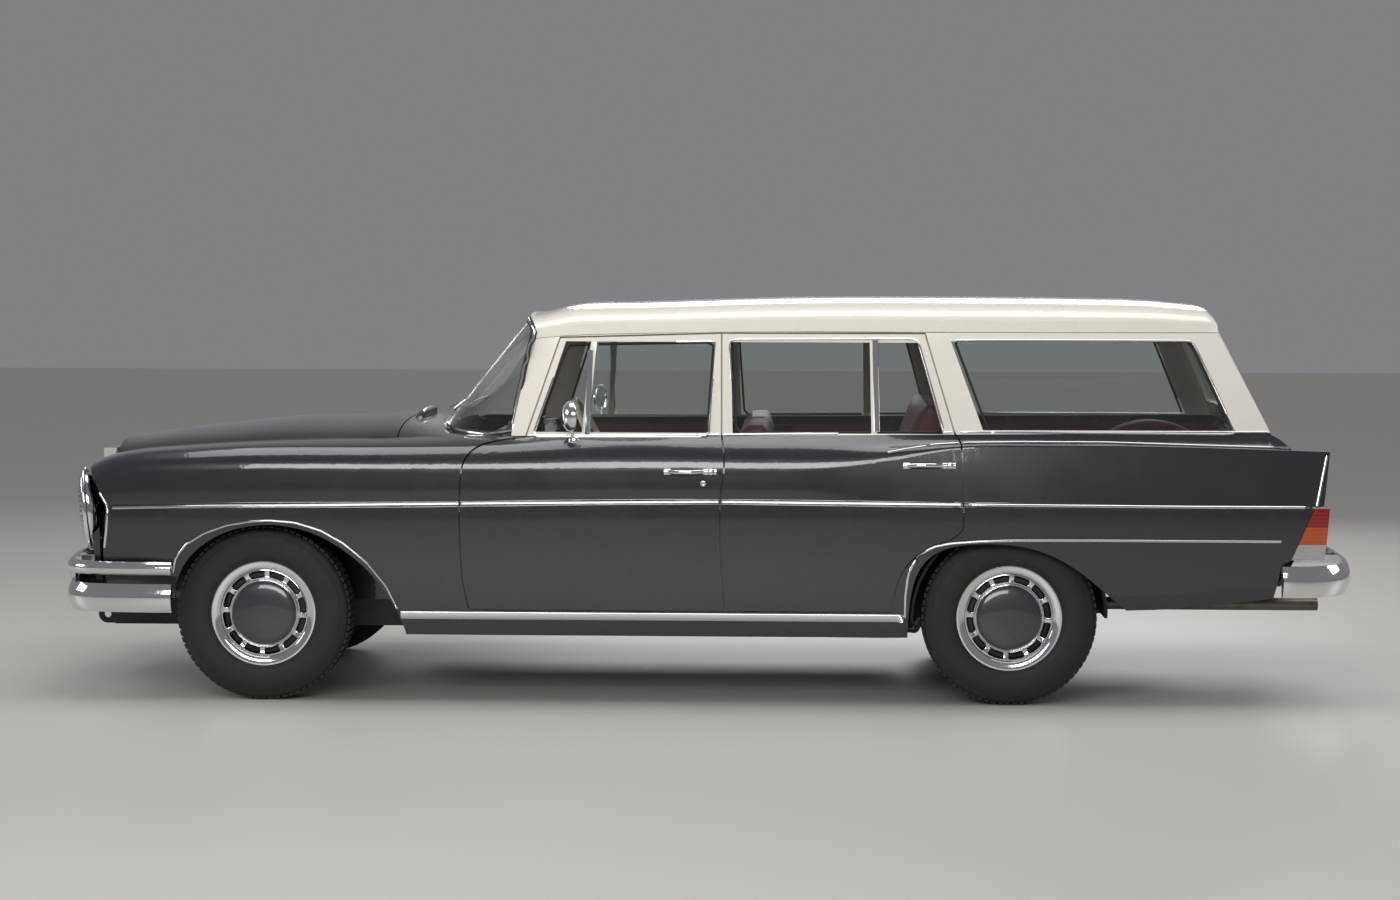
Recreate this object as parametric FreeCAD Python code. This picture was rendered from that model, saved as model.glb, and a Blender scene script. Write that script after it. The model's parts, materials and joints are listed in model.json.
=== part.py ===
"""A four-door station wagon of the 1960s with small tail fins, built from separate pressed panels.

Millimetres. +Z is up, the nose points along -X and the car's left side faces -Y. The origin is on the
ground, in the middle of the overall length and width. Lengthwise places are given from the axles.
"""
import FreeCAD, Part
import math
import os

Vec = FreeCAD.Vector

# Overall sizes
WHEELBASE = 2750.0
FRONT_OVERHANG = 812.0
REAR_OVERHANG = 1313.0
WIDTH = 1795.0
TRACK = 1482.0
BELT_Z = 990.0
GUTTER_Z = 1368.0
CROWN_Z = 1496.0
RIB_Z = 745.0

# Wall thicknesses and clearances
SKIN = 28.0
DOOR_SKIN = 14.0
DOOR_INNER_Y = 768.0
FRAME_T = 38.0
ROOF_T = 26.0
GLASS_T = 5.0
GLASS_INSET = 14.0
PANEL_GAP = 6.0
JOIN_GAP = 1.0
OVERRUN = 60.0

HALF_WIDTH = WIDTH / 2
FRONT_AXLE_X = -(FRONT_OVERHANG + WHEELBASE + REAR_OVERHANG) / 2 + FRONT_OVERHANG
REAR_AXLE_X = FRONT_AXLE_X + WHEELBASE

# Wheels and tyres
TYRE_R = 322.0
TYRE_WIDTH = 184.0
RIM_R = 199.0
RIM_SEAT_R = 178.0
RIM_WIDTH = 140.0
WHEEL_Z = TYRE_R
KINGPIN_Y = 700.0

# Main lengthwise places, from the axles
NOSE_AHEAD = 690.0
DOOR_LEAD_AFT = 735.0
A_BASE_AFT = 969.0
A_TOP_AFT = 1084.0
B_TOP_AFT = 1687.0
B_SWELL = 16.0
B_LINE_AFT = 1688.0
WINDSCREEN_CORNER_AFT = 915.0
WINDSCREEN_CENTRE_AFT = 610.0
ROOF_CORNER_AFT = 992.0
ROOF_CENTRE_AFT = 948.0
REAR_DOOR_AHEAD = 173.0
C_TOP_AHEAD = 309.0
C_BELT_AHEAD = 204.0
ROOF_TAIL_AFT = 775.0
D_BASE_AFT = 958.0
FIN_TIP_AFT = 1160.0
FLOOR_Z = 300.0
FLOOR_T = 22.0
HIGH_Z = CROWN_Z + OVERRUN


def station(share):
    """The lengthwise place of a share: -1 is the front end, 0 and 1 the axles, 2 the rear end."""
    if share < 0:
        return FRONT_AXLE_X + share * FRONT_OVERHANG
    if share > 1:
        return REAR_AXLE_X + (share - 1) * REAR_OVERHANG
    return FRONT_AXLE_X + share * WHEELBASE


def front(aft):
    """A place that lies a distance behind the front axle."""
    return FRONT_AXLE_X + aft


def rear(aft):
    """A place that lies a distance behind the rear axle."""
    return REAR_AXLE_X + aft


def curve_through(table, share):
    """The value at a share, on a smooth curve through the table that never overshoots it."""
    xs = [row[0] for row in table]
    ys = [row[1] for row in table]
    if share <= xs[0]:
        return ys[0]
    if share >= xs[-1]:
        return ys[-1]
    slopes = [(ys[i + 1] - ys[i]) / (xs[i + 1] - xs[i]) for i in range(len(xs) - 1)]
    tangents = [slopes[0]]
    for before, after in zip(slopes, slopes[1:]):
        tangents.append(0 if before * after <= 0 else 2 * before * after / (before + after))
    tangents.append(slopes[-1])
    i = max(k for k in range(len(xs) - 1) if xs[k] <= share)
    width = xs[i + 1] - xs[i]
    t = (share - xs[i]) / width
    start = ys[i] * (1 + 2 * t) * (1 - t) ** 2 + tangents[i] * width * t * (1 - t) ** 2
    end = ys[i + 1] * t * t * (3 - 2 * t) - tangents[i + 1] * width * t * t * (1 - t)
    return start + end


# Basic shapes
def line(a, b):
    """A straight edge."""
    return Part.LineSegment(a, b).toShape()


def bezier(points):
    """A smooth edge pulled towards its middle points."""
    curve = Part.BezierCurve()
    curve.setPoles(points)
    return curve.toShape()


def spline(points):
    """A smooth edge through all its points."""
    curve = Part.BSplineCurve()
    curve.interpolate(points)
    return curve.toShape()


def chain(points):
    """Straight edges from point to point."""
    return [line(a, b) for a, b in zip(points, points[1:])]


def loft(wires, ruled=False):
    """A solid skinned over a row of closed sections."""
    return Part.makeLoft(wires, True, ruled)


def mirrored(shape):
    """The same shape on the other side of the car."""
    return shape.mirror(Vec(0, 0, 0), Vec(0, 1, 0))


def box(x0, x1, y0, y1, z0, z1):
    """A block between two places on each axis."""
    return Part.makeBox(x1 - x0, y1 - y0, z1 - z0, Vec(x0, y0, z0))


def cylinder_y(radius, y0, y1, x, z):
    """A cylinder across the car."""
    return Part.makeCylinder(radius, y1 - y0, Vec(x, y0, z), Vec(0, 1, 0))


def face_xz(edges):
    """The face inside a ring of edges that follow each other, seen from the side."""
    return Part.Face(Part.Wire(edges))


def side_prism(face, y0, y1):
    """A face seen from the side, drawn out across the car from y0 to y1."""
    return face.translated(Vec(0, y0, 0)).extrude(Vec(0, y1 - y0, 0))


def moved_line(a, b, distance):
    """The line from a to b, moved to its left by a distance."""
    length = math.hypot(b[0] - a[0], b[1] - a[1])
    shift = (-(b[1] - a[1]) * distance / length, (b[0] - a[0]) * distance / length)
    return (a[0] + shift[0], a[1] + shift[1]), (b[0] + shift[0], b[1] + shift[1])


def crossing(p, q):
    """Where two lines meet, each given by two points; the end of the first if they run the same way."""
    (ax, az), (bx, bz) = p
    (cx, cz), (dx, dz) = q
    det = (bx - ax) * (dz - cz) - (bz - az) * (dx - cx)
    if abs(det) < 0.02 * math.hypot(bx - ax, bz - az) * math.hypot(dx - cx, dz - cz):
        return (bx + cx) / 2, (bz + cz) / 2
    t = ((cx - ax) * (dz - cz) - (cz - az) * (dx - cx)) / det
    return ax + (bx - ax) * t, az + (bz - az) * t


def grown(curves, distance=0.0):
    """The face inside a ring of curves, clockwise, moved outwards; two points make a line, more a curve."""
    moved = []
    for curve in curves:
        pieces = [moved_line(a, b, distance) for a, b in zip(curve, curve[1:])]
        inner = [crossing(a, b) for a, b in zip(pieces, pieces[1:])]
        moved.append((pieces, inner))
    edges = []
    corners = [crossing(moved[i - 1][0][-1], moved[i][0][0]) for i in range(len(moved))]
    for i, (pieces, inner) in enumerate(moved):
        points = [corners[i]] + inner + [corners[(i + 1) % len(moved)]]
        vectors = [Vec(x, 0, z) for x, z in points]
        edges.append(spline(vectors) if len(vectors) > 2 else line(*vectors))
    return Part.Face(Part.Wire(edges))


def fuse(first, *others):
    """One solid from many that touch."""
    return first.fuse(list(others))


def one(shape):
    """The solids of a shape, as one solid or a compound."""
    solids = [s for s in shape.Solids if s.Volume > 1.0]
    return solids[0] if len(solids) == 1 else Part.makeCompound(solids)


def largest(shape):
    """The biggest solid of a shape."""
    return max(shape.Solids, key=lambda s: s.Volume)


# Body side: the section at each station runs from the belt over the shoulder down to the sill
STATION_SHARES = (-0.85, -0.67, -0.43, 0, 0.145, 0.21, 0.27, 0.35, 0.47, 0.65, 0.78, 0.855,
                  0.927, 1.04, 1.16, 1.42, 1.68, 1.73, 1.775, 1.82, 1.855, 1.89)
HALF_WIDTH_SHARES = ((-0.85, 0.934), (-0.67, 0.950), (-0.43, 0.967), (0, 0.986), (0.145, 0.995),
                     (0.35, 1.0), (0.78, 1.0), (1.04, 0.997), (1.42, 0.987), (1.72, 0.974), (1.89, 0.961))
BELT_Y_SHARES = ((-0.85, 0.34), (-0.67, 0.40), (-0.43, 0.535), (0, 0.641), (0.145, 0.708),
                 (0.21, 0.745), (0.27, 0.80), (0.35, 0.872), (0.47, 0.892), (0.65, 0.895),
                 (0.927, 0.886), (1.42, 0.873), (1.72, 0.858), (1.89, 0.845))
BELT_Z_SHARES = ((-0.85, 0.879), (-0.67, 0.917), (-0.43, 0.939), (0, 0.964), (0.145, 0.976),
                 (0.27, 0.984), (0.35, 0.989), (0.47, 0.994), (0.65, 1.0), (0.927, 1.011), (1.68, 1.013),
                 (1.73, 1.005), (1.775, 0.965), (1.82, 0.905), (1.855, 0.865), (1.89, 0.84))
CREST_Z_SHARES = ((-0.85, 0.80), (-0.67, 0.884), (-0.43, 0.905), (0, 0.913), (0.65, 0.919),
                  (0.78, 0.925), (0.855, 0.95), (0.927, 0.972), (1.04, 0.978), (1.42, 0.974),
                  (1.72, 0.963), (1.89, 0.955))
CREST_INSET_SHARES = ((-0.85, 0.012), (0.65, 0.012), (0.78, 0.018), (0.927, 0.040), (1.89, 0.046))
CREST_ROUND_SHARES = ((-0.85, 0.060), (0.65, 0.070), (0.78, 0.055), (0.927, 0.022), (1.89, 0.015))
SHOULDER_Y_SHARES = ((-0.85, 0.80), (-0.43, 0.86), (0, 0.88), (0.27, 0.905), (0.47, 0.935),
                     (0.78, 0.93), (0.927, 0.905), (1.73, 0.893), (1.82, 0.90), (1.89, 0.905))
SHOULDER_Z_SHARES = ((-0.85, 0.875), (-0.67, 0.925), (-0.43, 0.945), (0, 0.965), (0.47, 0.972),
                     (0.78, 0.972), (0.927, 0.965), (1.42, 0.955), (1.73, 0.945), (1.775, 0.925),
                     (1.82, 0.885), (1.855, 0.862), (1.89, 0.85))
RIB_Z_SHARES = ((-0.85, 0.955), (0.15, 0.982), (0.6, 1.006), (0.95, 0.998), (1.9, 0.991))
SILL_TOP_SHARES = ((-0.85, 0.49), (-0.43, 0.45), (0, 0.40), (0.18, 0.345), (0.85, 0.345),
                   (1.1, 0.40), (1.42, 0.42), (1.89, 0.47))
SILL_FOOT_SHARES = ((-0.85, 0.44), (-0.43, 0.38), (0, 0.30), (0.18, 0.25), (0.85, 0.25),
                    (1.1, 0.33), (1.3, 0.358), (1.42, 0.36), (1.72, 0.40), (1.89, 0.44))
RIB_STEP = 12.0
RIB_HEIGHT = 20.0
SILL_TOP_INSET = 40.0
SILL_FOOT_INSET = 76.0
SIDE_BULGE = 4.0


def side_points(share):
    """The outer points of the body side at a station, as (y, z) pairs."""
    w = curve_through(HALF_WIDTH_SHARES, share) * HALF_WIDTH
    belt = (curve_through(BELT_Y_SHARES, share) * HALF_WIDTH, curve_through(BELT_Z_SHARES, share) * BELT_Z)
    shoulder = (curve_through(SHOULDER_Y_SHARES, share) * HALF_WIDTH,
                curve_through(SHOULDER_Z_SHARES, share) * BELT_Z)
    crest = (w - curve_through(CREST_INSET_SHARES, share) * HALF_WIDTH,
             curve_through(CREST_Z_SHARES, share) * BELT_Z)
    rounding = curve_through(CREST_ROUND_SHARES, share) * HALF_WIDTH
    rib = curve_through(RIB_Z_SHARES, share) * RIB_Z
    sill_top = (w - SILL_TOP_INSET, curve_through(SILL_TOP_SHARES, share) * BELT_Z)
    sill_foot = (w - SILL_FOOT_INSET, curve_through(SILL_FOOT_SHARES, share) * BELT_Z)
    return w, belt, shoulder, crest, rounding, rib, sill_top, sill_foot


def toward(a, b, distance):
    """The point a distance from a on the way to b."""
    length = math.hypot(b[0] - a[0], b[1] - a[1])
    return (a[0] + (b[0] - a[0]) * distance / length, a[1] + (b[1] - a[1]) * distance / length)


def mix(a, b, t):
    """The point a share of the way from a to b."""
    return (a[0] + (b[0] - a[0]) * t, a[1] + (b[1] - a[1]) * t)


def side_section(share):
    """The closed section of the body side at a station, filled in to the middle of the car."""
    w, belt, shoulder, crest, rounding, rib, sill_top, sill_foot = side_points(share)
    x = station(share)
    rib_top = (w - RIB_STEP, rib + RIB_HEIGHT / 2)
    rib_foot = (w, rib - RIB_HEIGHT / 2)
    crest_in = toward(crest, shoulder, rounding)
    crest_out = toward(crest, rib_top, rounding)
    upper = mix(crest_out, rib_top, 0.5)
    lower = mix(rib_foot, sill_top, 0.5)
    outer = [
        bezier([Vec(x, *belt), Vec(x, *shoulder), Vec(x, *crest_in)]),
        bezier([Vec(x, *crest_in), Vec(x, *crest), Vec(x, *crest_out)]),
        bezier([Vec(x, *crest_out), Vec(x, upper[0] + SIDE_BULGE, upper[1]), Vec(x, *rib_top)]),
        bezier([Vec(x, *rib_top), Vec(x, rib_top[0], rib), Vec(x, rib_foot[0], rib), Vec(x, *rib_foot)]),
        bezier([Vec(x, *rib_foot), Vec(x, w + SIDE_BULGE, lower[1]), Vec(x, *sill_top)]),
        line(Vec(x, *sill_top), Vec(x, *sill_foot)),
    ]
    ring = [Vec(x, *sill_foot), Vec(x, 0, sill_foot[1]), Vec(x, 0, belt[1]), Vec(x, *belt)]
    return Part.Wire(outer + chain(ring))


# Side of the cabin: from the belt up to the gutter
ROOF_GAP = 2.0
CABIN_SHARES = (0.30, 0.36, 0.40, 0.47, 0.62, 0.78, 0.93, 1.16, 1.42, 1.60, 1.75)
GUTTER_Y_SHARES = ((0.30, 0.655), (0.36, 0.675), (0.40, 0.695), (0.47, 0.715), (0.62, 0.728),
                   (0.93, 0.728), (1.42, 0.712), (1.60, 0.695), (1.75, 0.68))
GUTTER_Z_SHARES = ((0.30, 0.966), (0.36, 0.978), (0.40, 0.986), (0.47, 0.992), (0.62, 0.999),
                   (1.16, 1.0), (1.75, 1.0015))
CABIN_BULGE = 9.0


def cabin_line(share, inset=0.0):
    """The foot and the head of the cabin's side at a station, as (y, z) pairs."""
    belt_y = curve_through(BELT_Y_SHARES, share) * HALF_WIDTH - inset
    belt_z = curve_through(BELT_Z_SHARES, share) * BELT_Z
    gutter_y = curve_through(GUTTER_Y_SHARES, share) * HALF_WIDTH - inset
    gutter_z = curve_through(GUTTER_Z_SHARES, share) * GUTTER_Z
    return (belt_y, belt_z), (gutter_y, gutter_z)


def cabin_section(share, inset, depth):
    """The closed section of the cabin's side wall at a station, ending just below the roof."""
    x = station(share)
    low, (high_y, gutter_z) = cabin_line(share, inset)
    high = (high_y, gutter_z - ROOF_GAP)
    low_in = (low[0] - depth, low[1])
    high_in = (high[0] - depth, high[1])
    edges = []
    for a, b in ((low, high), (high_in, low_in)):
        middle = mix(a, b, 0.5)
        edges.append(bezier([Vec(x, *a), Vec(x, middle[0] + CABIN_BULGE, middle[1]), Vec(x, *b)]))
    edges.append(line(Vec(x, *high), Vec(x, *high_in)))
    edges.append(line(Vec(x, *low_in), Vec(x, *low)))
    return Part.Wire([edges[0], edges[2], edges[1], edges[3]])


def cabin_wall(inset, depth):
    """A wall of a depth along the whole cabin side, moved in by an inset."""
    return loft([cabin_section(s, inset, depth) for s in CABIN_SHARES])


# Outlines seen from the side
FRONT_ARCH_FRONT = 346.0
FRONT_ARCH_REAR = 512.0
FRONT_ARCH_TOP = 655.0
FRONT_ARCH_SHARES = ((0.0, 0.20), (0.010, 0.50), (0.035, 0.68), (0.085, 0.80), (0.165, 0.895), (0.26, 0.960),
                     (0.36, 0.992), (0.44, 1.0), (0.55, 0.985), (0.66, 0.938), (0.76, 0.862), (0.86, 0.752),
                     (0.94, 0.62), (1.0, 0.47), (1.03, 0.20))
REAR_ARCH_FRONT = 372.0
REAR_ARCH_REAR = 470.0
REAR_ARCH_TOP = 600.0
REAR_ARCH_SHARES = ((0.0, 0.20), (0.0, 0.50), (0.012, 0.68), (0.04, 0.82), (0.095, 0.92), (0.18, 0.978),
                    (0.29, 0.999), (0.38, 1.0), (0.49, 0.985), (0.61, 0.935), (0.715, 0.855), (0.83, 0.73),
                    (0.93, 0.61), (1.0, 0.53), (1.10, 0.30))


def arch_face(shares, x0, x1, top):
    """A wheel arch seen from the side; shares are of its length and of its height."""
    points = [Vec(x0 + (x1 - x0) * u, 0, top * v) for u, v in shares]
    return face_xz([spline(points), line(points[-1], points[0])])


FRONT_ARCH = arch_face(FRONT_ARCH_SHARES, front(-FRONT_ARCH_FRONT), front(FRONT_ARCH_REAR), FRONT_ARCH_TOP)
REAR_ARCH = arch_face(REAR_ARCH_SHARES, rear(-REAR_ARCH_FRONT), rear(REAR_ARCH_REAR), REAR_ARCH_TOP)

# Door outlines: the leading edge of the front door, the line between the doors, and the rear edge
DOOR_FOOT_Z = 345.0
DOOR_LEAD_SHARES = ((0.045, 0.0), (0.018, 0.14), (0.006, 0.30), (0.001, 0.46), (0.0, 0.60),
                    (0.004, 0.76), (0.020, 0.86), (0.060, 0.925), (0.135, 0.965), (0.225, 0.985),
                    (0.318, 1.0))
B_LINE_SHARES = ((1.2, 0.0), (0.9, 0.10), (0.15, 0.40), (0.0, 0.56), (0.35, 0.70), (0.95, 0.83), (0.7, 0.93),
                 (0.25, 1.0))
REAR_EDGE_DROP_Z = 655.0
REAR_EDGE_SHARES = ((0.0, 0.0), (0.03, 0.20), (0.10, 0.42), (0.22, 0.58), (0.38, 0.70), (0.62, 0.815),
                    (0.87, 0.90), (0.965, 0.97), (1.0, 1.08))
REAR_EDGE_FOOT_AHEAD = 430.0
REAR_DOOR_NOTCH = 36.0


def door_outlines():
    """The front and the rear door seen from the side, each as a ring of curves."""
    belt_front = BELT_Z * curve_through(BELT_Z_SHARES, A_BASE_AFT / WHEELBASE)
    belt_b = BELT_Z * curve_through(BELT_Z_SHARES, B_LINE_AFT / WHEELBASE)
    belt_c = BELT_Z * curve_through(BELT_Z_SHARES, 1 - C_BELT_AHEAD / WHEELBASE)
    gutter_a = GUTTER_Z * curve_through(GUTTER_Z_SHARES, A_TOP_AFT / WHEELBASE)
    gutter_b = GUTTER_Z * curve_through(GUTTER_Z_SHARES, B_TOP_AFT / WHEELBASE)
    gutter_c = GUTTER_Z * curve_through(GUTTER_Z_SHARES, 1 - C_TOP_AHEAD / WHEELBASE)
    lead = [(front(DOOR_LEAD_AFT * (1 + u)), DOOR_FOOT_Z + (belt_front - DOOR_FOOT_Z) * v)
            for u, v in DOOR_LEAD_SHARES]
    b_line = [(front(B_LINE_AFT + B_SWELL * u), DOOR_FOOT_Z + (belt_b - DOOR_FOOT_Z) * v)
              for u, v in B_LINE_SHARES]
    foot = rear(-REAR_EDGE_FOOT_AHEAD)
    end = rear(-REAR_DOOR_AHEAD)
    rear_edge = [(foot + (end - foot) * u, DOOR_FOOT_Z + (REAR_EDGE_DROP_Z - DOOR_FOOT_Z) * v)
                 for u, v in REAR_EDGE_SHARES]
    a_top = (front(A_TOP_AFT), gutter_a - PANEL_GAP)
    b_top = (front(B_TOP_AFT), gutter_b - PANEL_GAP)
    c_top = (rear(-C_TOP_AHEAD), gutter_c - PANEL_GAP)
    c_belt = (rear(-C_BELT_AHEAD), belt_c)
    c_low = (rear(-REAR_DOOR_AHEAD) - REAR_DOOR_NOTCH / 4, belt_c - REAR_DOOR_NOTCH)
    front_door = [lead, [lead[-1], a_top], [a_top, b_top], [b_top, b_line[-1]], b_line[::-1],
                  [b_line[0], lead[0]]]
    rear_door = [b_line, [b_line[-1], b_top], [b_top, c_top], [c_top, c_belt], [c_belt, c_low],
                 [c_low, rear_edge[-1]], rear_edge[::-1], [rear_edge[0], b_line[0]]]
    return front_door, rear_door


FRONT_DOOR, REAR_DOOR = door_outlines()

# Window outlines, clockwise from the lower front corner
VENT_BAR_AFT = 1196.0
VENT_BAR_LEAN = 16.0
REAR_BAR_AHEAD = 503.0
REAR_BAR_LEAN = 5.5
BAR_WIDTH = 22.0
WINDOW_SILL = 6.0
WINDOW_HEAD = 34.0
WINDOW_FRONT_RAIL = 34.0
WINDOW_B_RAIL = 44.0
WINDOW_B_RAIL_TOP = 33.0
WINDOW_REAR_RAIL = 40.0


def polygon(points):
    """A face with straight sides, from (x, z) points."""
    ring = [Vec(x, 0, z) for x, z in points]
    return face_xz(chain(ring + ring[:1]))


def rail_point(a, b, z, aft):
    """The place at a height on the line from a to b, moved aft."""
    t = (z - a[1]) / (b[1] - a[1])
    return (a[0] + (b[0] - a[0]) * t + aft, z)


def window_outlines():
    """The four windows of the two doors, seen from the side."""
    low = BELT_Z + WINDOW_SILL
    high_f = GUTTER_Z - WINDOW_HEAD - PANEL_GAP
    a_low = (front(A_BASE_AFT), BELT_Z)
    a_high = (front(A_TOP_AFT), GUTTER_Z)
    vent = [rail_point(a_low, a_high, low, WINDOW_FRONT_RAIL),
            rail_point(a_low, a_high, high_f, WINDOW_FRONT_RAIL),
            (front(VENT_BAR_AFT + VENT_BAR_LEAN) - BAR_WIDTH / 2, high_f),
            (front(VENT_BAR_AFT - VENT_BAR_LEAN / 2) - BAR_WIDTH / 2, low)]
    main = [(front(VENT_BAR_AFT - VENT_BAR_LEAN / 2) + BAR_WIDTH / 2, low),
            (front(VENT_BAR_AFT + VENT_BAR_LEAN) + BAR_WIDTH / 2, high_f),
            (front(B_LINE_AFT) - WINDOW_B_RAIL / 2, high_f), (front(B_LINE_AFT) - WINDOW_B_RAIL, low)]
    c_low = (rear(-C_BELT_AHEAD), BELT_Z)
    c_high = (rear(-C_TOP_AHEAD), GUTTER_Z)
    bar_top = rear(-REAR_BAR_AHEAD)
    bar_foot = bar_top + REAR_BAR_LEAN
    rear_main = [(front(B_LINE_AFT) + WINDOW_B_RAIL, low), (front(B_LINE_AFT) + WINDOW_B_RAIL_TOP, high_f),
                 (bar_top - BAR_WIDTH / 2, high_f), (bar_foot - BAR_WIDTH / 2, low)]
    rear_fixed = [(bar_foot + BAR_WIDTH / 2, low), (bar_top + BAR_WIDTH / 2, high_f),
                  rail_point(c_low, c_high, high_f, -WINDOW_REAR_RAIL),
                  rail_point(c_low, c_high, low, -WINDOW_REAR_RAIL)]
    return polygon(vent), polygon(main), polygon(rear_main), polygon(rear_fixed)


VENT, FRONT_MAIN, REAR_MAIN, REAR_FIXED = window_outlines()
QUARTER_LOW_FRONT_AHEAD = 100.0
QUARTER_HIGH_FRONT_AHEAD = 214.0
QUARTER_HIGH_REAR_AFT = 676.0
QUARTER_LOW_REAR_AFT = 822.0
QUARTER_SILL = 20.0
QUARTER = polygon([
    (rear(-QUARTER_LOW_FRONT_AHEAD), BELT_Z + QUARTER_SILL),
    (rear(-QUARTER_HIGH_FRONT_AHEAD), GUTTER_Z - WINDOW_HEAD),
    (rear(QUARTER_HIGH_REAR_AFT), GUTTER_Z - WINDOW_HEAD),
    (rear(QUARTER_LOW_REAR_AFT), BELT_Z + QUARTER_SILL)])

# Ends of the cabin side: the windscreen edge and the rear edge of the last pillar
ROOF_CORNER_Z = 1409.0
A_EDGE = polygon([
    (front(WINDSCREEN_CORNER_AFT), BELT_Z - OVERRUN), (front(WINDSCREEN_CORNER_AFT), BELT_Z),
    (front(ROOF_CORNER_AFT), ROOF_CORNER_Z), (front(ROOF_CORNER_AFT), HIGH_Z),
    (rear(ROOF_TAIL_AFT), HIGH_Z),
    (rear(ROOF_TAIL_AFT), GUTTER_Z), (rear(D_BASE_AFT), BELT_Z), (rear(D_BASE_AFT), BELT_Z - OVERRUN)])

FENDER_TOP_AHEAD = 658.0
FENDER_MID_AHEAD = 576.0
FENDER_FOOT_AHEAD = 592.0
FENDER_TIP_Z = 880.0
FENDER_MID_Z = 712.0
FENDER_FOOT_Z = 545.0
FIN_FOOT_AFT = 1020.0
FIN_LAMP_AFT = 1098.0
FIN_LAMP_Z = 735.0
FIN_FOOT_Z = 545.0
FIN_TIP_Z = 935.0
LAMP_HOOD = 38.0
LAMP_HOOD_RISE = 4.0
TAIL_UNDER_AFT = 965.0
TAIL_UNDER_Z = 396.0
TAIL_TUCK_AFT = 985.0
TAIL_TUCK_Z = 524.0


def nose_trim():
    """What lies ahead of the wing's front edge, round the headlamp."""
    far = front(-NOSE_AHEAD) - OVERRUN
    return polygon([(far, 0), (front(-FENDER_FOOT_AHEAD), 0), (front(-FENDER_FOOT_AHEAD), FENDER_FOOT_Z),
                    (front(-FENDER_MID_AHEAD), FENDER_MID_Z), (front(-FENDER_TOP_AHEAD), FENDER_TIP_Z),
                    (front(-FENDER_TOP_AHEAD) - OVERRUN, FENDER_TIP_Z + OVERRUN),
                    (far, FENDER_TIP_Z + OVERRUN)])


def tail_trim():
    """What lies behind the fin's rear edge and the lamp's front edge."""
    far = rear(FIN_TIP_AFT) + OVERRUN
    return polygon([(far, 0), (rear(TAIL_UNDER_AFT), 0), (rear(TAIL_UNDER_AFT), TAIL_UNDER_Z),
                    (rear(TAIL_TUCK_AFT), TAIL_TUCK_Z), (rear(FIN_FOOT_AFT), FIN_FOOT_Z),
                    (rear(FIN_LAMP_AFT), FIN_LAMP_Z),
                    (rear(FIN_LAMP_AFT) + LAMP_HOOD, FIN_LAMP_Z + LAMP_HOOD_RISE),
                    (rear(FIN_TIP_AFT), FIN_TIP_Z), (rear(FIN_TIP_AFT), HIGH_Z), (far, HIGH_Z)])


# The filled half of the car below the belt, and the side of the cabin above it
BELT_TOP = BELT_Z + OVERRUN
HALF = loft([side_section(s) for s in STATION_SHARES])
CABIN = cabin_wall(0, FRAME_T).common(side_prism(A_EDGE, 0, WIDTH))


def under(solid, depth):
    """The solid moved in and down by a depth, which leaves a wall of that depth when it is cut away."""
    return solid.translated(Vec(0, -depth, -depth))


def inward(solid, depth):
    """The solid moved in by a depth."""
    return solid.translated(Vec(0, -depth, 0))


def through(face):
    """A face seen from the side, drawn out through the whole right side."""
    return side_prism(face, 0, WIDTH)


def plan_room(shares, inset, low, high):
    """The space between the car's middle and a line that follows the belt, seen from above."""
    edge = [Vec(station(s), curve_through(BELT_Y_SHARES, s) * HALF_WIDTH - inset, low) for s in shares]
    start = Vec(edge[0].x, -edge[0].y, low)
    end = Vec(edge[-1].x, -edge[-1].y, low)
    face = Part.Face(Part.Wire([spline(edge)] + chain([edge[-1], end, start, edge[0]])))
    return face.extrude(Vec(0, 0, high - low))


# Doors, wings and the fixed sides
DOOR_STEP_LOW = 34.0
DOOR_STEP_HIGH = 18.0
REBATE_LOW = 14.0
REBATE_HIGH = 10.0
SILL_SPLIT_Z = 342.0
POST_WIDTH = 40.0
WING_BACK_AFT = 966.0
WING_BACK_SHARES = (0.86, 0.955, 0.99)
REBATE_SPLIT_SHARE = 0.97
CABIN_FROM_SHARE = 0.27
BONNET_SHARES = (-0.80, -0.73, -0.55, -0.30, 0.0, 0.06, 0.11, 0.1725)
COWL_SHARES = (0.1745, 0.20, 0.225, 0.27, 0.35)
BONNET_ROOM_FOOT_Z = 693.0
HALF_SKIN = HALF.cut(under(HALF, SKIN))
FLANGE = HALF.cut(under(HALF, DOOR_SKIN))
FLANGE_ROOM = HALF.cut(under(HALF, DOOR_SKIN + PANEL_GAP))
CABIN_FLANGE = CABIN.cut(inward(CABIN, DOOR_SKIN))
CABIN_FLANGE_ROOM = CABIN.cut(inward(CABIN, DOOR_SKIN + PANEL_GAP))
DOOR_DEEP = box(front(0), rear(0), DOOR_INNER_Y, WIDTH, 0, BELT_TOP)
BONNET_ROOM = plan_room(STATION_SHARES[:1] + BONNET_SHARES + COWL_SHARES[1:], 0, BONNET_ROOM_FOOT_Z, HIGH_Z)
GLASS = cabin_wall(GLASS_INSET, GLASS_T)
CABIN_ROOM = plan_room([s for s in STATION_SHARES if s >= CABIN_FROM_SHARE], FRAME_T, 0, BELT_TOP)


def right_door(outline, windows):
    """A door: a thin outer skin to the full outline, on a deeper box that is stepped in all round."""
    full = through(grown(outline, -PANEL_GAP / 2))
    lower = HALF.common(DOOR_DEEP).common(through(grown(outline, -DOOR_STEP_LOW)))
    upper = CABIN.common(through(grown(outline, -DOOR_STEP_HIGH)))
    skin = FLANGE.common(DOOR_DEEP).common(full)
    solid = fuse(lower, upper, skin, CABIN_FLANGE.common(full))
    for window in windows:
        solid = solid.cut(through(window))
    return largest(solid)


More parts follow.
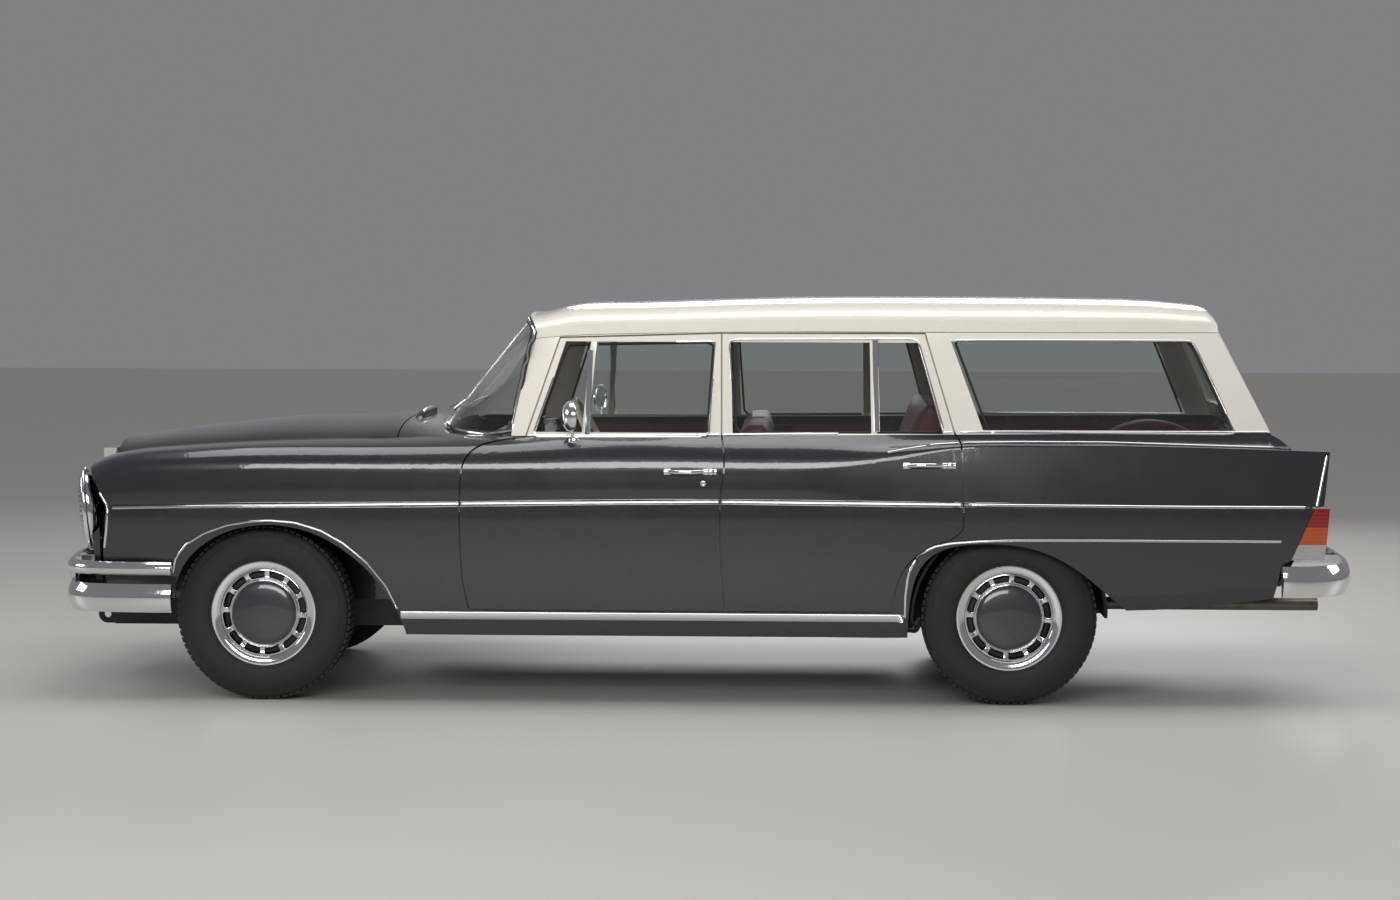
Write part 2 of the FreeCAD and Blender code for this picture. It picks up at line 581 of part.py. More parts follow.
def wing_zone():
    """What belongs to the front wing, seen from the side."""
    far = front(-NOSE_AHEAD) - OVERRUN
    back = front(DOOR_LEAD_AFT + DOOR_STEP_LOW)
    shoulder, tip_foot, tip = [BELT_Z * share for share in WING_BACK_SHARES]
    foot = front(FRONT_ARCH_REAR) - OVERRUN
    return polygon([(far, 0), (foot, 0), (foot, SILL_SPLIT_Z), (back, SILL_SPLIT_Z), (back, shoulder),
                    (front(WING_BACK_AFT), tip_foot),
                    (front(WING_BACK_AFT), tip), (front(WINDSCREEN_CORNER_AFT), tip),
                    (front(WINDSCREEN_CORNER_AFT), HIGH_Z), (far, HIGH_Z)])


def right_side():
    """The wing and the fixed side of the body, with rebates that the doors close into."""
    span_end = rear(-REAR_DOOR_AHEAD + POST_WIDTH)
    door_span = box(front(DOOR_LEAD_AFT), span_end, DOOR_INNER_Y, WIDTH, 0, BELT_TOP)
    sill = box(front(FRONT_ARCH_REAR), rear(-REAR_ARCH_FRONT), DOOR_INNER_Y, WIDTH, 0, DOOR_FOOT_Z)
    corner = HALF.common(side_prism(tail_face(), GATE_HALF, WIDTH))
    skin = HALF_SKIN.cut(CABIN_ROOM)
    solid = fuse(skin, HALF.common(door_span), HALF.common(sill), corner).fuse(CABIN)
    low = box(front(0), rear(0), 0, WIDTH, 0, BELT_Z * REBATE_SPLIT_SHARE)
    for outline in (FRONT_DOOR, REAR_DOOR):
        solid = solid.cut(through(grown(outline, -REBATE_LOW)).common(low))
        solid = solid.cut(through(grown(outline, -REBATE_HIGH)).cut(low))
        room = through(grown(outline, PANEL_GAP / 2))
        solid = solid.cut(FLANGE_ROOM.common(room)).cut(CABIN_FLANGE_ROOM.common(room))
    for face in (FRONT_ARCH, REAR_ARCH, QUARTER, nose_trim(), tail_trim()):
        solid = solid.cut(through(face))
    drum_r = WHEELHOUSE_R + WHEELHOUSE_T + JOIN_GAP
    solid = solid.cut(cylinder_y(drum_r, 0, WHEELHOUSE_OUT_Y, REAR_AXLE_X, WHEEL_Z))
    wing = solid.common(through(wing_zone())).cut(BONNET_ROOM)
    wing = wing.cut(grille_slab(-BONNET_GAP, -OVERRUN, GRILLE_DEPTH + BONNET_GAP)).cut(headlamp(JOIN_GAP))
    return largest(wing), largest(solid.cut(through(wing_zone())))


# Tail: lower gate, glazed hatch, lamps and panel
GATE_HALF = 610.0
GATE_THICKNESS = 45.0
GATE_FOOT_Z = 585.0
TAIL_SHARES = ((0.590, 1.163), (0.70, 1.159), (0.81, 1.144), (0.90, 1.115), (0.965, 1.068), (1.004, 1.0))


def tail_face():
    """The band of the tail seen from the side, from its lower edge up to the belt."""
    outer = [(rear(D_BASE_AFT * u), BELT_Z * v) for v, u in TAIL_SHARES]
    inner = offset_points(outer, GATE_THICKNESS)[::-1]
    return grown([outer, [outer[-1], inner[0]], inner, [inner[-1], outer[0]]])


def tailgate():
    """The lower gate, between the two rear corners."""
    return side_prism(tail_face(), -GATE_HALF + PANEL_GAP, GATE_HALF - PANEL_GAP)


HATCH_THICKNESS = 32.0
HATCH_RAIL = 62.0
HATCH_SEAL = 4.0
HATCH_FOOT_Z = 999.0
HATCH_TOP_Z = 1388.0


def hatch_slab(thickness, front_gap, rail):
    """A leaning slab in the rear opening between the last pillars, narrower at the top."""
    low = HATCH_FOOT_Z + PANEL_GAP
    wires = []
    for z in (low + rail, HATCH_TOP_Z - rail):
        aft = D_BASE_AFT + (ROOF_TAIL_AFT - D_BASE_AFT) * (z - low) / (HATCH_TOP_Z - low)
        (low_y, low_z), (high_y, high_z) = cabin_line(1 + aft / REAR_OVERHANG, FRAME_T + PANEL_GAP)
        half = low_y + (high_y - low_y) * (z - low_z) / (high_z - low_z) - rail
        x = rear(aft) - front_gap
        points = [Vec(x, -half, z), Vec(x, half, z), Vec(x - thickness, half, z),
                  Vec(x - thickness, -half, z)]
        wires.append(Part.Wire(chain(points + points[:1])))
    return loft(wires, True)


def hatch():
    """The upper gate's frame, with the opening for its glass."""
    solid = hatch_slab(HATCH_THICKNESS, 0, 0)
    return solid.cut(hatch_slab(HATCH_THICKNESS + OVERRUN, -OVERRUN / 2, HATCH_RAIL))


def hatch_glass():
    """The pane in the upper gate."""
    return hatch_slab(GLASS_T, HATCH_THICKNESS / 2, HATCH_RAIL + HATCH_SEAL)


# Plan of the windscreen, from its middle out to its corners
SCREEN_T = 6.0
SCREEN_SHARES = ((0.0, 0.0), (0.30, 0.012), (0.55, 0.075), (0.75, 0.25), (0.90, 0.58), (1.0, 1.0))
SCREEN_HALF_FOOT = 748.0
SCREEN_HALF_TOP = 598.0


def screen_rows(centre, corner, half):
    """The windscreen's curve seen from above, from its left corner to its right one."""
    rows = [(centre + (corner - centre) * v, half * u) for u, v in SCREEN_SHARES]
    return [(x, -y) for x, y in rows[:0:-1]] + rows


def behind_screen(centre, corner, half):
    """All the room behind a windscreen's plan curve."""
    edge = spline([Vec(x, y, 0) for x, y in screen_rows(centre, corner, half)])
    far = rear(REAR_OVERHANG)
    ring = [Vec(corner, half, 0), Vec(corner, WIDTH, 0), Vec(far, WIDTH, 0), Vec(far, -WIDTH, 0),
            Vec(corner, -WIDTH, 0), Vec(corner, -half, 0)]
    return Part.Face(Part.Wire([edge] + chain(ring))).extrude(Vec(0, 0, HIGH_Z))


# Roof
ROOF_SHARES = (0.345, 0.372, 0.4025, 0.4545, 0.6615, 0.93, 1.317, 1.42, 1.535, 1.576, 1.59)
CROWN_SHARES = ((0.345, 0.957), (0.372, 0.963), (0.4025, 0.9766), (0.4545, 0.983), (0.6615, 0.9947),
                (0.93, 0.9993), (1.317, 0.996), (1.42, 0.993), (1.535, 0.9846), (1.576, 0.973), (1.59, 0.954))
GUTTER_OUT = 9.0
GUTTER_HEIGHT = 11.0
ROOF_LEAN_SHARE = 0.016
ROOF_TURN_SHARE = 0.045
ROOF_FLAT_SHARE = 0.25
ROOF_SIDE_RISE_SHARE = 0.34
ROOF_TURN_RISE_SHARE = 0.96


def both_sides(points):
    """Right-hand points with their mirror images ahead of them, from the far left to the far right."""
    return [[Vec(p.x, -p.y, p.z) for p in curve[::-1]] for curve in points[::-1]] + points


def roof_section(share, inset, overrun=0.0, skirt=0.0):
    """The closed section of the roof at a station, from gutter to gutter, with straight skirts below."""
    x = station(share) + overrun
    _, (y, z) = cabin_line(share)
    crown = curve_through(CROWN_SHARES, share) * CROWN_Z - inset
    y = y - inset
    rise = crown - z
    side = Vec(x, y - HALF_WIDTH * ROOF_LEAN_SHARE, z + rise * ROOF_SIDE_RISE_SHARE)
    turn = Vec(x, y - HALF_WIDTH * ROOF_TURN_SHARE, z + rise * ROOF_TURN_RISE_SHARE)
    top = [Vec(x, 0, crown), Vec(x, y - HALF_WIDTH * ROOF_FLAT_SHARE, crown), turn, side]
    half = [top, [side, Vec(x, y, z)]]
    if skirt:
        half.append([Vec(x, y, z), Vec(x, y, z - skirt)])
    curves = both_sides(half)
    return Part.Wire([bezier(c) for c in curves] + [line(curves[-1][-1], curves[0][0])])


def roof():
    """The roof as one hollow pressing, with a gutter along each side."""
    shell = loft([roof_section(s, 0) for s in ROOF_SHARES])
    ends = [-OVERRUN] + [0] * (len(ROOF_SHARES) - 2) + [OVERRUN]
    shell = shell.cut(loft([roof_section(s, ROOF_T, e, OVERRUN) for s, e in zip(ROOF_SHARES, ends)]))
    strips = []
    for share in ROOF_SHARES:
        x = station(share)
        _, (y, low) = cabin_line(share)
        high = low + GUTTER_HEIGHT
        ring = [Vec(x, y - GUTTER_OUT, low), Vec(x, y + GUTTER_OUT, low),
                Vec(x, y + GUTTER_OUT, high), Vec(x, y - GUTTER_OUT, high)]
        strips.append(Part.Wire(chain(ring + ring[:1])))
    strip = loft(strips)
    behind = behind_screen(front(ROOF_CENTRE_AFT), front(ROOF_CORNER_AFT), SCREEN_HALF_TOP)
    return one(shell.fuse([strip, mirrored(strip)]).common(behind))


# Windscreen
def screen_wire(centre, corner, z, corner_z, half):
    """A closed strip on a leaning plane that wraps round towards its ends."""
    full = screen_rows(centre, corner, half)
    slope = (corner_z - z) / (corner - centre)
    outer = [Vec(x, y, z + (x - centre) * slope) for x, y in full]
    inner = [Vec(x, y, z + (x - centre) * slope) for x, y in offset_points(full, -SCREEN_T)][::-1]
    return Part.Wire([spline(outer), line(outer[-1], inner[0]), spline(inner), line(inner[-1], outer[0])])


SCREEN_FOOT_Z = 996.0
SCREEN_TOP_Z = 1412.0
SCREEN_CORNER_FOOT_Z = 975.0
SCREEN_CORNER_TOP_Z = 1384.0


def windscreen():
    """The glass, lofted through its foot, a bowed middle and its top."""
    middle_x, middle_z = mix((WINDSCREEN_CENTRE_AFT, SCREEN_FOOT_Z), (ROOF_CENTRE_AFT, SCREEN_TOP_Z), 0.5)
    corner_x, corner_z = mix((WINDSCREEN_CORNER_AFT, SCREEN_CORNER_FOOT_Z),
                             (ROOF_CORNER_AFT, GUTTER_Z), 0.5)
    half = (SCREEN_HALF_FOOT + SCREEN_HALF_TOP) / 2 + CABIN_BULGE
    top_gap = SCREEN_T + JOIN_GAP
    glass = loft([
        screen_wire(front(WINDSCREEN_CENTRE_AFT), front(WINDSCREEN_CORNER_AFT) - JOIN_GAP, SCREEN_FOOT_Z,
                    SCREEN_CORNER_FOOT_Z, SCREEN_HALF_FOOT),
        screen_wire(front(middle_x) - CABIN_BULGE, front(corner_x) - CABIN_BULGE, middle_z, corner_z, half),
        screen_wire(front(ROOF_CENTRE_AFT) - top_gap, front(ROOF_CORNER_AFT) - top_gap, SCREEN_TOP_Z,
                    SCREEN_CORNER_TOP_Z, SCREEN_HALF_TOP)])
    return largest(glass.cut(CABIN).cut(mirrored(CABIN)))


# Bonnet, cowl and grille
BONNET_T = 22.0
BONNET_CROWN_SHARES = ((-0.80, 0.948), (-0.73, 0.954), (-0.447, 0.989), (-0.138, 1.011), (0.111, 1.034),
                       (0.1745, 1.038), (0.218, 1.012), (0.28, 1.0), (0.36, 0.996))
BONNET_SKIRT = 26.0
BONNET_GAP = 8.0
COWL_GAP = 3.0
BONNET_LIP = 5.0
BONNET_LIP_AFT = 340.0
BONNET_FLAT_SHARE = 0.45
BONNET_EDGE_SHARE = 0.86
BONNET_EDGE_RISE_SHARE = 0.82


def bonnet_section(share, gap, inset=0.0, overrun=0.0):
    """The closed section of the bonnet or cowl, between the wing tops, with a skirt at each side."""
    x = station(share) + overrun
    y = curve_through(BELT_Y_SHARES, share) * HALF_WIDTH - gap - inset
    z = curve_through(BELT_Z_SHARES, share) * BELT_Z - inset
    crown = curve_through(BONNET_CROWN_SHARES, share) * BELT_Z - inset
    edge = Vec(x, y * BONNET_EDGE_SHARE, z + (crown - z) * BONNET_EDGE_RISE_SHARE)
    top = [Vec(x, 0, crown), Vec(x, y * BONNET_FLAT_SHARE, crown), edge, Vec(x, y, z)]
    curves = both_sides([top, [Vec(x, y, z), Vec(x, y, z - BONNET_SKIRT)]])
    return Part.Wire([bezier(c) for c in curves] + [line(curves[-1][-1], curves[0][0])])


def bonnet_shell(shares, gap):
    """The hollow pressing of the bonnet or the cowl."""
    outer = loft([bonnet_section(s, gap) for s in shares])
    ends = [-OVERRUN] + [0] * (len(shares) - 2) + [OVERRUN]
    inner = loft([bonnet_section(s, gap, BONNET_T, e) for s, e in zip(shares, ends)])
    return outer.cut(inner).cut(inner.translated(Vec(0, 0, -BONNET_T)))


def bonnet():
    """The lid over the engine; its skirt ends in a thin lip near the hinge, to swing clear of the wings."""
    back = BONNET_SHARES[-1]
    lip_z = curve_through(BELT_Z_SHARES, back) * BELT_Z - BONNET_LIP
    below = box(front(BONNET_LIP_AFT), station(back) + OVERRUN, -HALF_WIDTH, HALF_WIDTH, 0, lip_z)
    return one(bonnet_shell(BONNET_SHARES, BONNET_GAP).cut(below))


GRILLE_HALF_TOP = 330.0
GRILLE_HALF_FOOT = 285.0
GRILLE_TOP_Z = 905.0
GRILLE_FOOT_Z = 528.0
GRILLE_FACE_AHEAD = 700.0
GRILLE_DEPTH = 50.0
GRILLE_RIM = 26.0
GRILLE_BARS = 8
GRILLE_BAR = 9.0


def grille_slab(inset, x0, x1):
    """A slab with the grille's outline, wider at the top, from x0 to x1 behind its face."""
    face_x = front(-GRILLE_FACE_AHEAD)
    foot = (GRILLE_HALF_FOOT - inset, GRILLE_FOOT_Z + inset)
    top = (GRILLE_HALF_TOP - inset, GRILLE_TOP_Z - inset)
    points = [(-foot[0], foot[1]), (-top[0], top[1]), top, foot]
    ring = [Vec(face_x + x0, y, z) for y, z in points]
    return Part.Face(Part.Wire(chain(ring + ring[:1]))).extrude(Vec(x1 - x0, 0, 0))


def grille():
    """The upright grille: a frame, level bars and one bar down the middle."""
    frame = grille_slab(0, 0, GRILLE_DEPTH).cut(grille_slab(GRILLE_RIM, -JOIN_GAP, GRILLE_DEPTH / 2))
    pitch = (GRILLE_TOP_Z - GRILLE_FOOT_Z - 2 * GRILLE_RIM) / (GRILLE_BARS + 1)
    face_x = front(-GRILLE_FACE_AHEAD)
    bars = []
    for i in range(GRILLE_BARS):
        z = GRILLE_FOOT_Z + GRILLE_RIM + pitch * (i + 1)
        bar = box(face_x + GRILLE_BAR, face_x + GRILLE_DEPTH, -GRILLE_HALF_TOP, GRILLE_HALF_TOP,
                  z - GRILLE_BAR / 2, z + GRILLE_BAR / 2)
        bars.append(bar.common(grille_slab(GRILLE_RIM / 2, 0, GRILLE_DEPTH)))
    bars.append(box(face_x + JOIN_GAP, face_x + GRILLE_DEPTH, -GRILLE_BAR, GRILLE_BAR,
                    GRILLE_FOOT_Z + GRILLE_RIM / 2, GRILLE_TOP_Z - GRILLE_RIM / 2))
    return fuse(frame, *bars)


# Nose, lamps and bumpers
NOSE_PANEL_AHEAD = 632.0
NOSE_PANEL_T = 24.0
NOSE_PANEL_FOOT_Z = 440.0
CHIN_AHEAD = 690.0
LAMP_Y = 742.0
LAMP_Z = 702.0
LAMP_HALF_WIDTH = 96.0
LAMP_HALF_HEIGHT = 152.0
LAMP_FACE_AHEAD = 662.0
LAMP_BULGE = 38.0


def oval(x, inset):
    """An upright oval wire across the car, round at both ends."""
    w = LAMP_HALF_WIDTH - inset
    h = LAMP_HALF_HEIGHT - inset
    points = [Vec(x, LAMP_Y + w * math.cos(a), LAMP_Z + h * math.sin(a))
              for a in [2 * math.pi * i / 16 for i in range(16)]]
    curve = Part.BSplineCurve()
    curve.interpolate(points, PeriodicFlag=True)
    return Part.Wire(curve.toShape())


LAMP_SHARES = ((-1.0, 1.3), (-0.45, 0.33), (0.0, 0.0), (1.45, 0.33), (2.9, 1.0))


def headlamp(gap=0.0):
    """The lamp unit, or the room it needs: places along the car and insets are shares of its bulge."""
    face = front(-LAMP_FACE_AHEAD)
    return loft([oval(face + LAMP_BULGE * u, LAMP_BULGE * v - gap) for u, v in LAMP_SHARES], True)


INSIDE = fuse(under(HALF, SKIN + JOIN_GAP), mirrored(under(HALF, SKIN + JOIN_GAP)))


def nose_panel():
    """The panel behind the lamps, with the chin below the grille."""
    x = front(-NOSE_PANEL_AHEAD)
    panel = box(x, x + NOSE_PANEL_T, -HALF_WIDTH, HALF_WIDTH, NOSE_PANEL_FOOT_Z, BELT_Z).common(INSIDE)
    panel = panel.cut(grille_slab(-PANEL_GAP, 0, GRILLE_DEPTH + OVERRUN))
    panel = panel.cut(headlamp(JOIN_GAP)).cut(mirrored(headlamp(JOIN_GAP)))
    chin = box(front(-CHIN_AHEAD), x + NOSE_PANEL_T, -GRILLE_HALF_FOOT, GRILLE_HALF_FOOT, NOSE_PANEL_FOOT_Z,
               GRILLE_FOOT_Z - PANEL_GAP)
    return one(fuse(panel, chin))


FRONT_BUMPER_SHARES = ((0.0, 1.0), (0.40, 0.985), (0.72, 0.944), (0.905, 0.865), (0.968, 0.70),
                       (0.985, 0.41))
REAR_BUMPER_SHARES = ((0.0, 1.0), (0.45, 0.989), (0.75, 0.962), (0.89, 0.915), (0.955, 0.855),
                      (0.975, 0.755))
BLADE_T = 30.0
BLADE_BULGE = 16.0
LOW_BLADE_Z = (327.0, 432.0)
HIGH_BLADE_Z = (464.0, 514.0)
REAR_BLADE_Z = (407.0, 522.0)
BRACKET_Y = 420.0
BRACKET_WIDTH = 50.0
REAR_ARM_AFT = 1040.0


def blade(shares, overhang, origin, z0, z1):
    """A bumper blade that wraps round the corners; shares are of the half width and of the overhang."""
    side = [(origin + overhang * v, HALF_WIDTH * u) for u, v in shares]
    full = [(x, -y) for x, y in side[:0:-1]] + side
    sign = 1 if overhang > 0 else -1
    wires = []
    for z, inset in ((z0, BLADE_BULGE), ((z0 + z1) / 2, 0), (z1, BLADE_BULGE)):
        outer = offset_points(full, inset * sign)
        inner = offset_points(full, BLADE_T * sign)[::-1]
        outer = [Vec(x, y, z) for x, y in outer]
        inner = [Vec(x, y, z) for x, y in inner]
        wires.append(Part.Wire([spline(outer), line(outer[-1], inner[0]), spline(inner),
                                line(inner[-1], outer[0])]))
    return loft(wires)


def offset_points(points, distance):
    """An open run of points, moved to one side by a distance."""
    pieces = [moved_line(a, b, distance) for a, b in zip(points, points[1:])]
    return [pieces[0][0]] + [crossing(a, b) for a, b in zip(pieces, pieces[1:])] + [pieces[-1][1]]


def brackets(x0, x1, z0, z1):
    """The two arms that carry a bumper."""
    return [box(x0, x1, y - BRACKET_WIDTH / 2, y + BRACKET_WIDTH / 2, z0, z1)
            for y in (-BRACKET_Y, BRACKET_Y)]


def front_bumper():
    """The front bumper: two blades on two arms."""
    blades = [blade(FRONT_BUMPER_SHARES, -FRONT_OVERHANG, FRONT_AXLE_X, *z)
              for z in (LOW_BLADE_Z, HIGH_BLADE_Z)]
    x = front(-FRONT_OVERHANG) + BLADE_T
    arms = brackets(x, front(-NOSE_PANEL_AHEAD) - JOIN_GAP, LOW_BLADE_Z[1] - BRACKET_WIDTH,
                    HIGH_BLADE_Z[1] - BLADE_BULGE)
    return fuse(*blades, *arms)


def rear_bumper():
    """The rear bumper: one deep blade on two arms."""
    bar = blade(REAR_BUMPER_SHARES, REAR_OVERHANG, REAR_AXLE_X, *REAR_BLADE_Z)
    x = rear(REAR_OVERHANG) - BLADE_T
    arms = brackets(rear(REAR_ARM_AFT), x, REAR_BLADE_Z[0] + BLADE_BULGE, REAR_BLADE_Z[0] + BRACKET_WIDTH)
    return fuse(bar, *arms)


LAMP_INNER_Y = 700.0
LAMP_BACK_AFT = 1156.0
LAMP_FOOT_BACK_AFT = 1142.0
TAIL_PANEL_FOOT_Z = 425.0
TAIL_PANEL_T = 14.0


def tail_lamp():
    """The upright lamp cluster that closes the rear corner of the side, below the fin."""
    top = FIN_LAMP_Z - JOIN_GAP
    face = polygon([(rear(FIN_FOOT_AFT) + JOIN_GAP, FIN_FOOT_Z), (rear(FIN_LAMP_AFT) + JOIN_GAP, top),
                    (rear(LAMP_BACK_AFT), top), (rear(LAMP_FOOT_BACK_AFT), FIN_FOOT_Z)])
    return HALF.common(side_prism(face, LAMP_INNER_Y, WIDTH))


def tail_panel():
    """The leaning panel between the lamps, from behind the bumper up to the gate."""
    low_x = rear(FIN_FOOT_AFT)
    top_x = rear(FIN_LAMP_AFT)
    top_z = GATE_FOOT_Z - PANEL_GAP
    face = polygon([(low_x - TAIL_PANEL_T, TAIL_PANEL_FOOT_Z), (low_x, TAIL_PANEL_FOOT_Z), (top_x, top_z),
                    (top_x - TAIL_PANEL_T, top_z)])
    return side_prism(face, -GATE_HALF + JOIN_GAP, GATE_HALF - JOIN_GAP)


# Floor, bulkhead and chassis
FIREWALL_AFT = 640.0
FIREWALL_T = 18.0
WALL_Y = 755.0
LOAD_Z = 560.0
WHEELHOUSE_R = 352.0
WHEELHOUSE_T = 10.0
WHEELHOUSE_Y = 610.0
WHEELHOUSE_OUT_Y = 852.0
WELL_Y = 500.0
WELL_Z = 336.0
WELL_T = 14.0
WELL_FRONT_AFT = 325.0
WELL_BACK_AFT = 1004.0
WHEELHOUSE_END = 280.0
AXLE_ROOM = 10.0
LOAD_BACK_AFT = 1018.0
LOAD_LIP = 30.0
DUCT_AFT = 575.0
DUCT_HALF = 260.0


def air_duct():
    """The channel under the cowl that leads outside air back to the wall: an upright and a level sheet."""
    x = front(DUCT_AFT)
    back = front(FIREWALL_AFT) + FIREWALL_T
    low = curve_through(BELT_Z_SHARES, DUCT_AFT / WHEELBASE) * BELT_Z - SKIN - SKIN
    top = curve_through(BONNET_CROWN_SHARES, DUCT_AFT / WHEELBASE) * BELT_Z - BONNET_T / 2
    return [box(x, x + FIREWALL_T, -DUCT_HALF, DUCT_HALF, low, top),
            box(x, back, -DUCT_HALF, DUCT_HALF, low, low + FIREWALL_T)]


def bulkhead():
    """The wall between engine and cabin, with the cowl panel ahead of the windscreen."""
    wall_x = front(FIREWALL_AFT)
    wall = box(wall_x, wall_x + FIREWALL_T, -WALL_Y, WALL_Y, FLOOR_Z + JOIN_GAP, BELT_TOP).common(INSIDE)
    glass = behind_screen(front(WINDSCREEN_CENTRE_AFT) - JOIN_GAP,
                          front(WINDSCREEN_CORNER_AFT) - 2 * JOIN_GAP, SCREEN_HALF_FOOT)
    cowl = bonnet_shell(COWL_SHARES, COWL_GAP).cut(glass)
    door_room = box(front(DOOR_LEAD_AFT) - PANEL_GAP, front(A_TOP_AFT), DOOR_INNER_Y - PANEL_GAP, WIDTH,
                    0, HIGH_Z)
    return largest(fuse(wall, cowl, *air_duct()).cut(door_room).cut(mirrored(door_room)))


def wheelhouse():
    """The right rear wheel's housing: a drum open to the outside, with a slot for the axle."""
    outer = cylinder_y(WHEELHOUSE_R + WHEELHOUSE_T, WHEELHOUSE_Y - WHEELHOUSE_T, WHEELHOUSE_OUT_Y,
                       REAR_AXLE_X, WHEEL_Z)
    inner = cylinder_y(WHEELHOUSE_R, WHEELHOUSE_Y, WHEELHOUSE_OUT_Y + OVERRUN, REAR_AXLE_X, WHEEL_Z)
    axle = cylinder_y(AXLE_R + AXLE_ROOM, 0, WHEELHOUSE_OUT_Y, REAR_AXLE_X, WHEEL_Z)
    keep = box(rear(-WHEELHOUSE_R) - OVERRUN, rear(WHEELHOUSE_R) + OVERRUN, 0, WIDTH, FLOOR_Z, BELT_Z)
    return outer.cut(inner).cut(axle).common(keep).common(under(HALF, SKIN + JOIN_GAP))


def floor_pan():
    """Cabin floor, step and load floor, with a well for the spare wheel at the right."""
    step_x = rear(-WHEELHOUSE_R) - FLOOR_T
    ahead_x = rear(-WHEELHOUSE_END)
    behind_x = rear(WHEELHOUSE_END)
    well_x = rear(WELL_FRONT_AFT)
    back_x = rear(LOAD_BACK_AFT)
    low = LOAD_Z - FLOOR_T
    well_low = WELL_Z - WELL_T
    side_y = WHEELHOUSE_Y - JOIN_GAP
    under_floor = FLOOR_Z - FLOOR_T
    pieces = [box(front(FIREWALL_AFT), step_x + FLOOR_T, -DOOR_INNER_Y, DOOR_INNER_Y, under_floor, FLOOR_Z),
              box(step_x, step_x + FLOOR_T, -WALL_Y, WALL_Y, under_floor, LOAD_Z),
              box(step_x, back_x, -WHEELHOUSE_Y, WELL_Y, low, LOAD_Z),
              box(step_x, back_x + LOAD_LIP, -GATE_HALF + JOIN_GAP, WELL_Y, low, LOAD_Z),
              box(step_x, well_x + WELL_T, WELL_Y - JOIN_GAP, WHEELHOUSE_Y, low, LOAD_Z),
              box(step_x, ahead_x, -WALL_Y, -side_y, low, LOAD_Z),
              box(step_x, ahead_x, side_y, WALL_Y, low, LOAD_Z),
              box(behind_x, back_x, -WALL_Y, -side_y, low, LOAD_Z),
              box(well_x, rear(WELL_BACK_AFT), WELL_Y, WALL_Y, well_low, WELL_Z),
              box(well_x, rear(WELL_BACK_AFT), WELL_Y - WELL_T, WELL_Y, well_low, LOAD_Z)]
    pieces += [box(x, x + WELL_T, WELL_Y - WELL_T, WALL_Y, well_low, LOAD_Z)
               for x in (well_x, rear(WELL_BACK_AFT) - WELL_T)]
    pieces += [wheelhouse(), mirrored(wheelhouse())]
    tyre_room = cylinder_y(WHEELHOUSE_R, WHEELHOUSE_Y, WIDTH, REAR_AXLE_X, WHEEL_Z)
    return largest(fuse(*pieces).cut(tyre_room).cut(mirrored(tyre_room)).common(INSIDE))


TRIM_T = 16.0


def side_trim():
    """The right trim panel of the load space, from the floor up to the belt."""
    panel = box(rear(-REAR_DOOR_AHEAD + POST_WIDTH), rear(LOAD_BACK_AFT), WALL_Y - TRIM_T, WALL_Y,
                LOAD_Z + JOIN_GAP, BELT_Z)
    panel = panel.cut(cylinder_y(WHEELHOUSE_R + WHEELHOUSE_T + JOIN_GAP, 0, WIDTH, REAR_AXLE_X, WHEEL_Z))
    return largest(panel.cut(side_prism(tail_face(), 0, WIDTH)).common(under(HALF, SKIN + JOIN_GAP)))


RAIL_Y = 400.0
RAIL_WIDTH = 60.0
RAIL_Z = (240.0, 340.0)
BAY_Y = 460.0
BAY_T = 12.0
BAY_TOP_Z = 830.0
CROSS_Z = (205.0, 250.0)
ARM_Y = 618.0
ARM_HALF = 42.0
CROSS_HALF = 63.0
HIGH_ARM_Z = (426.0, 458.0)
TOW_R = 14.0
TOW_T = 12.0
TOW_OUT = 34.0
TOW_Y = 430.0


def tow_eye():
    """A plate with a hole for a towing shackle, at the end of the left rail."""
    rail_x = front(-NOSE_PANEL_AHEAD)
    x = rail_x - TOW_OUT
    z = RAIL_Z[0] + TOW_OUT
    y0, y1 = -TOW_Y - TOW_T / 2, -TOW_Y + TOW_T / 2
    plate = box(x, rail_x + TOW_OUT, y0, y1, z - TOW_OUT, z + TOW_OUT)
    nose = cylinder_y(TOW_OUT, y0, y1, x, z)
    return plate.fuse(nose).cut(cylinder_y(TOW_R, y0 - TOW_T, y1 + TOW_T, x, z))


def bay_wall():
    """The right wall of the engine bay, on top of its rail."""
    return box(front(-NOSE_PANEL_AHEAD) + NOSE_PANEL_T + JOIN_GAP, front(FIREWALL_AFT) - JOIN_GAP,
               BAY_Y - BAY_T, BAY_Y, RAIL_Z[1], BAY_TOP_Z)


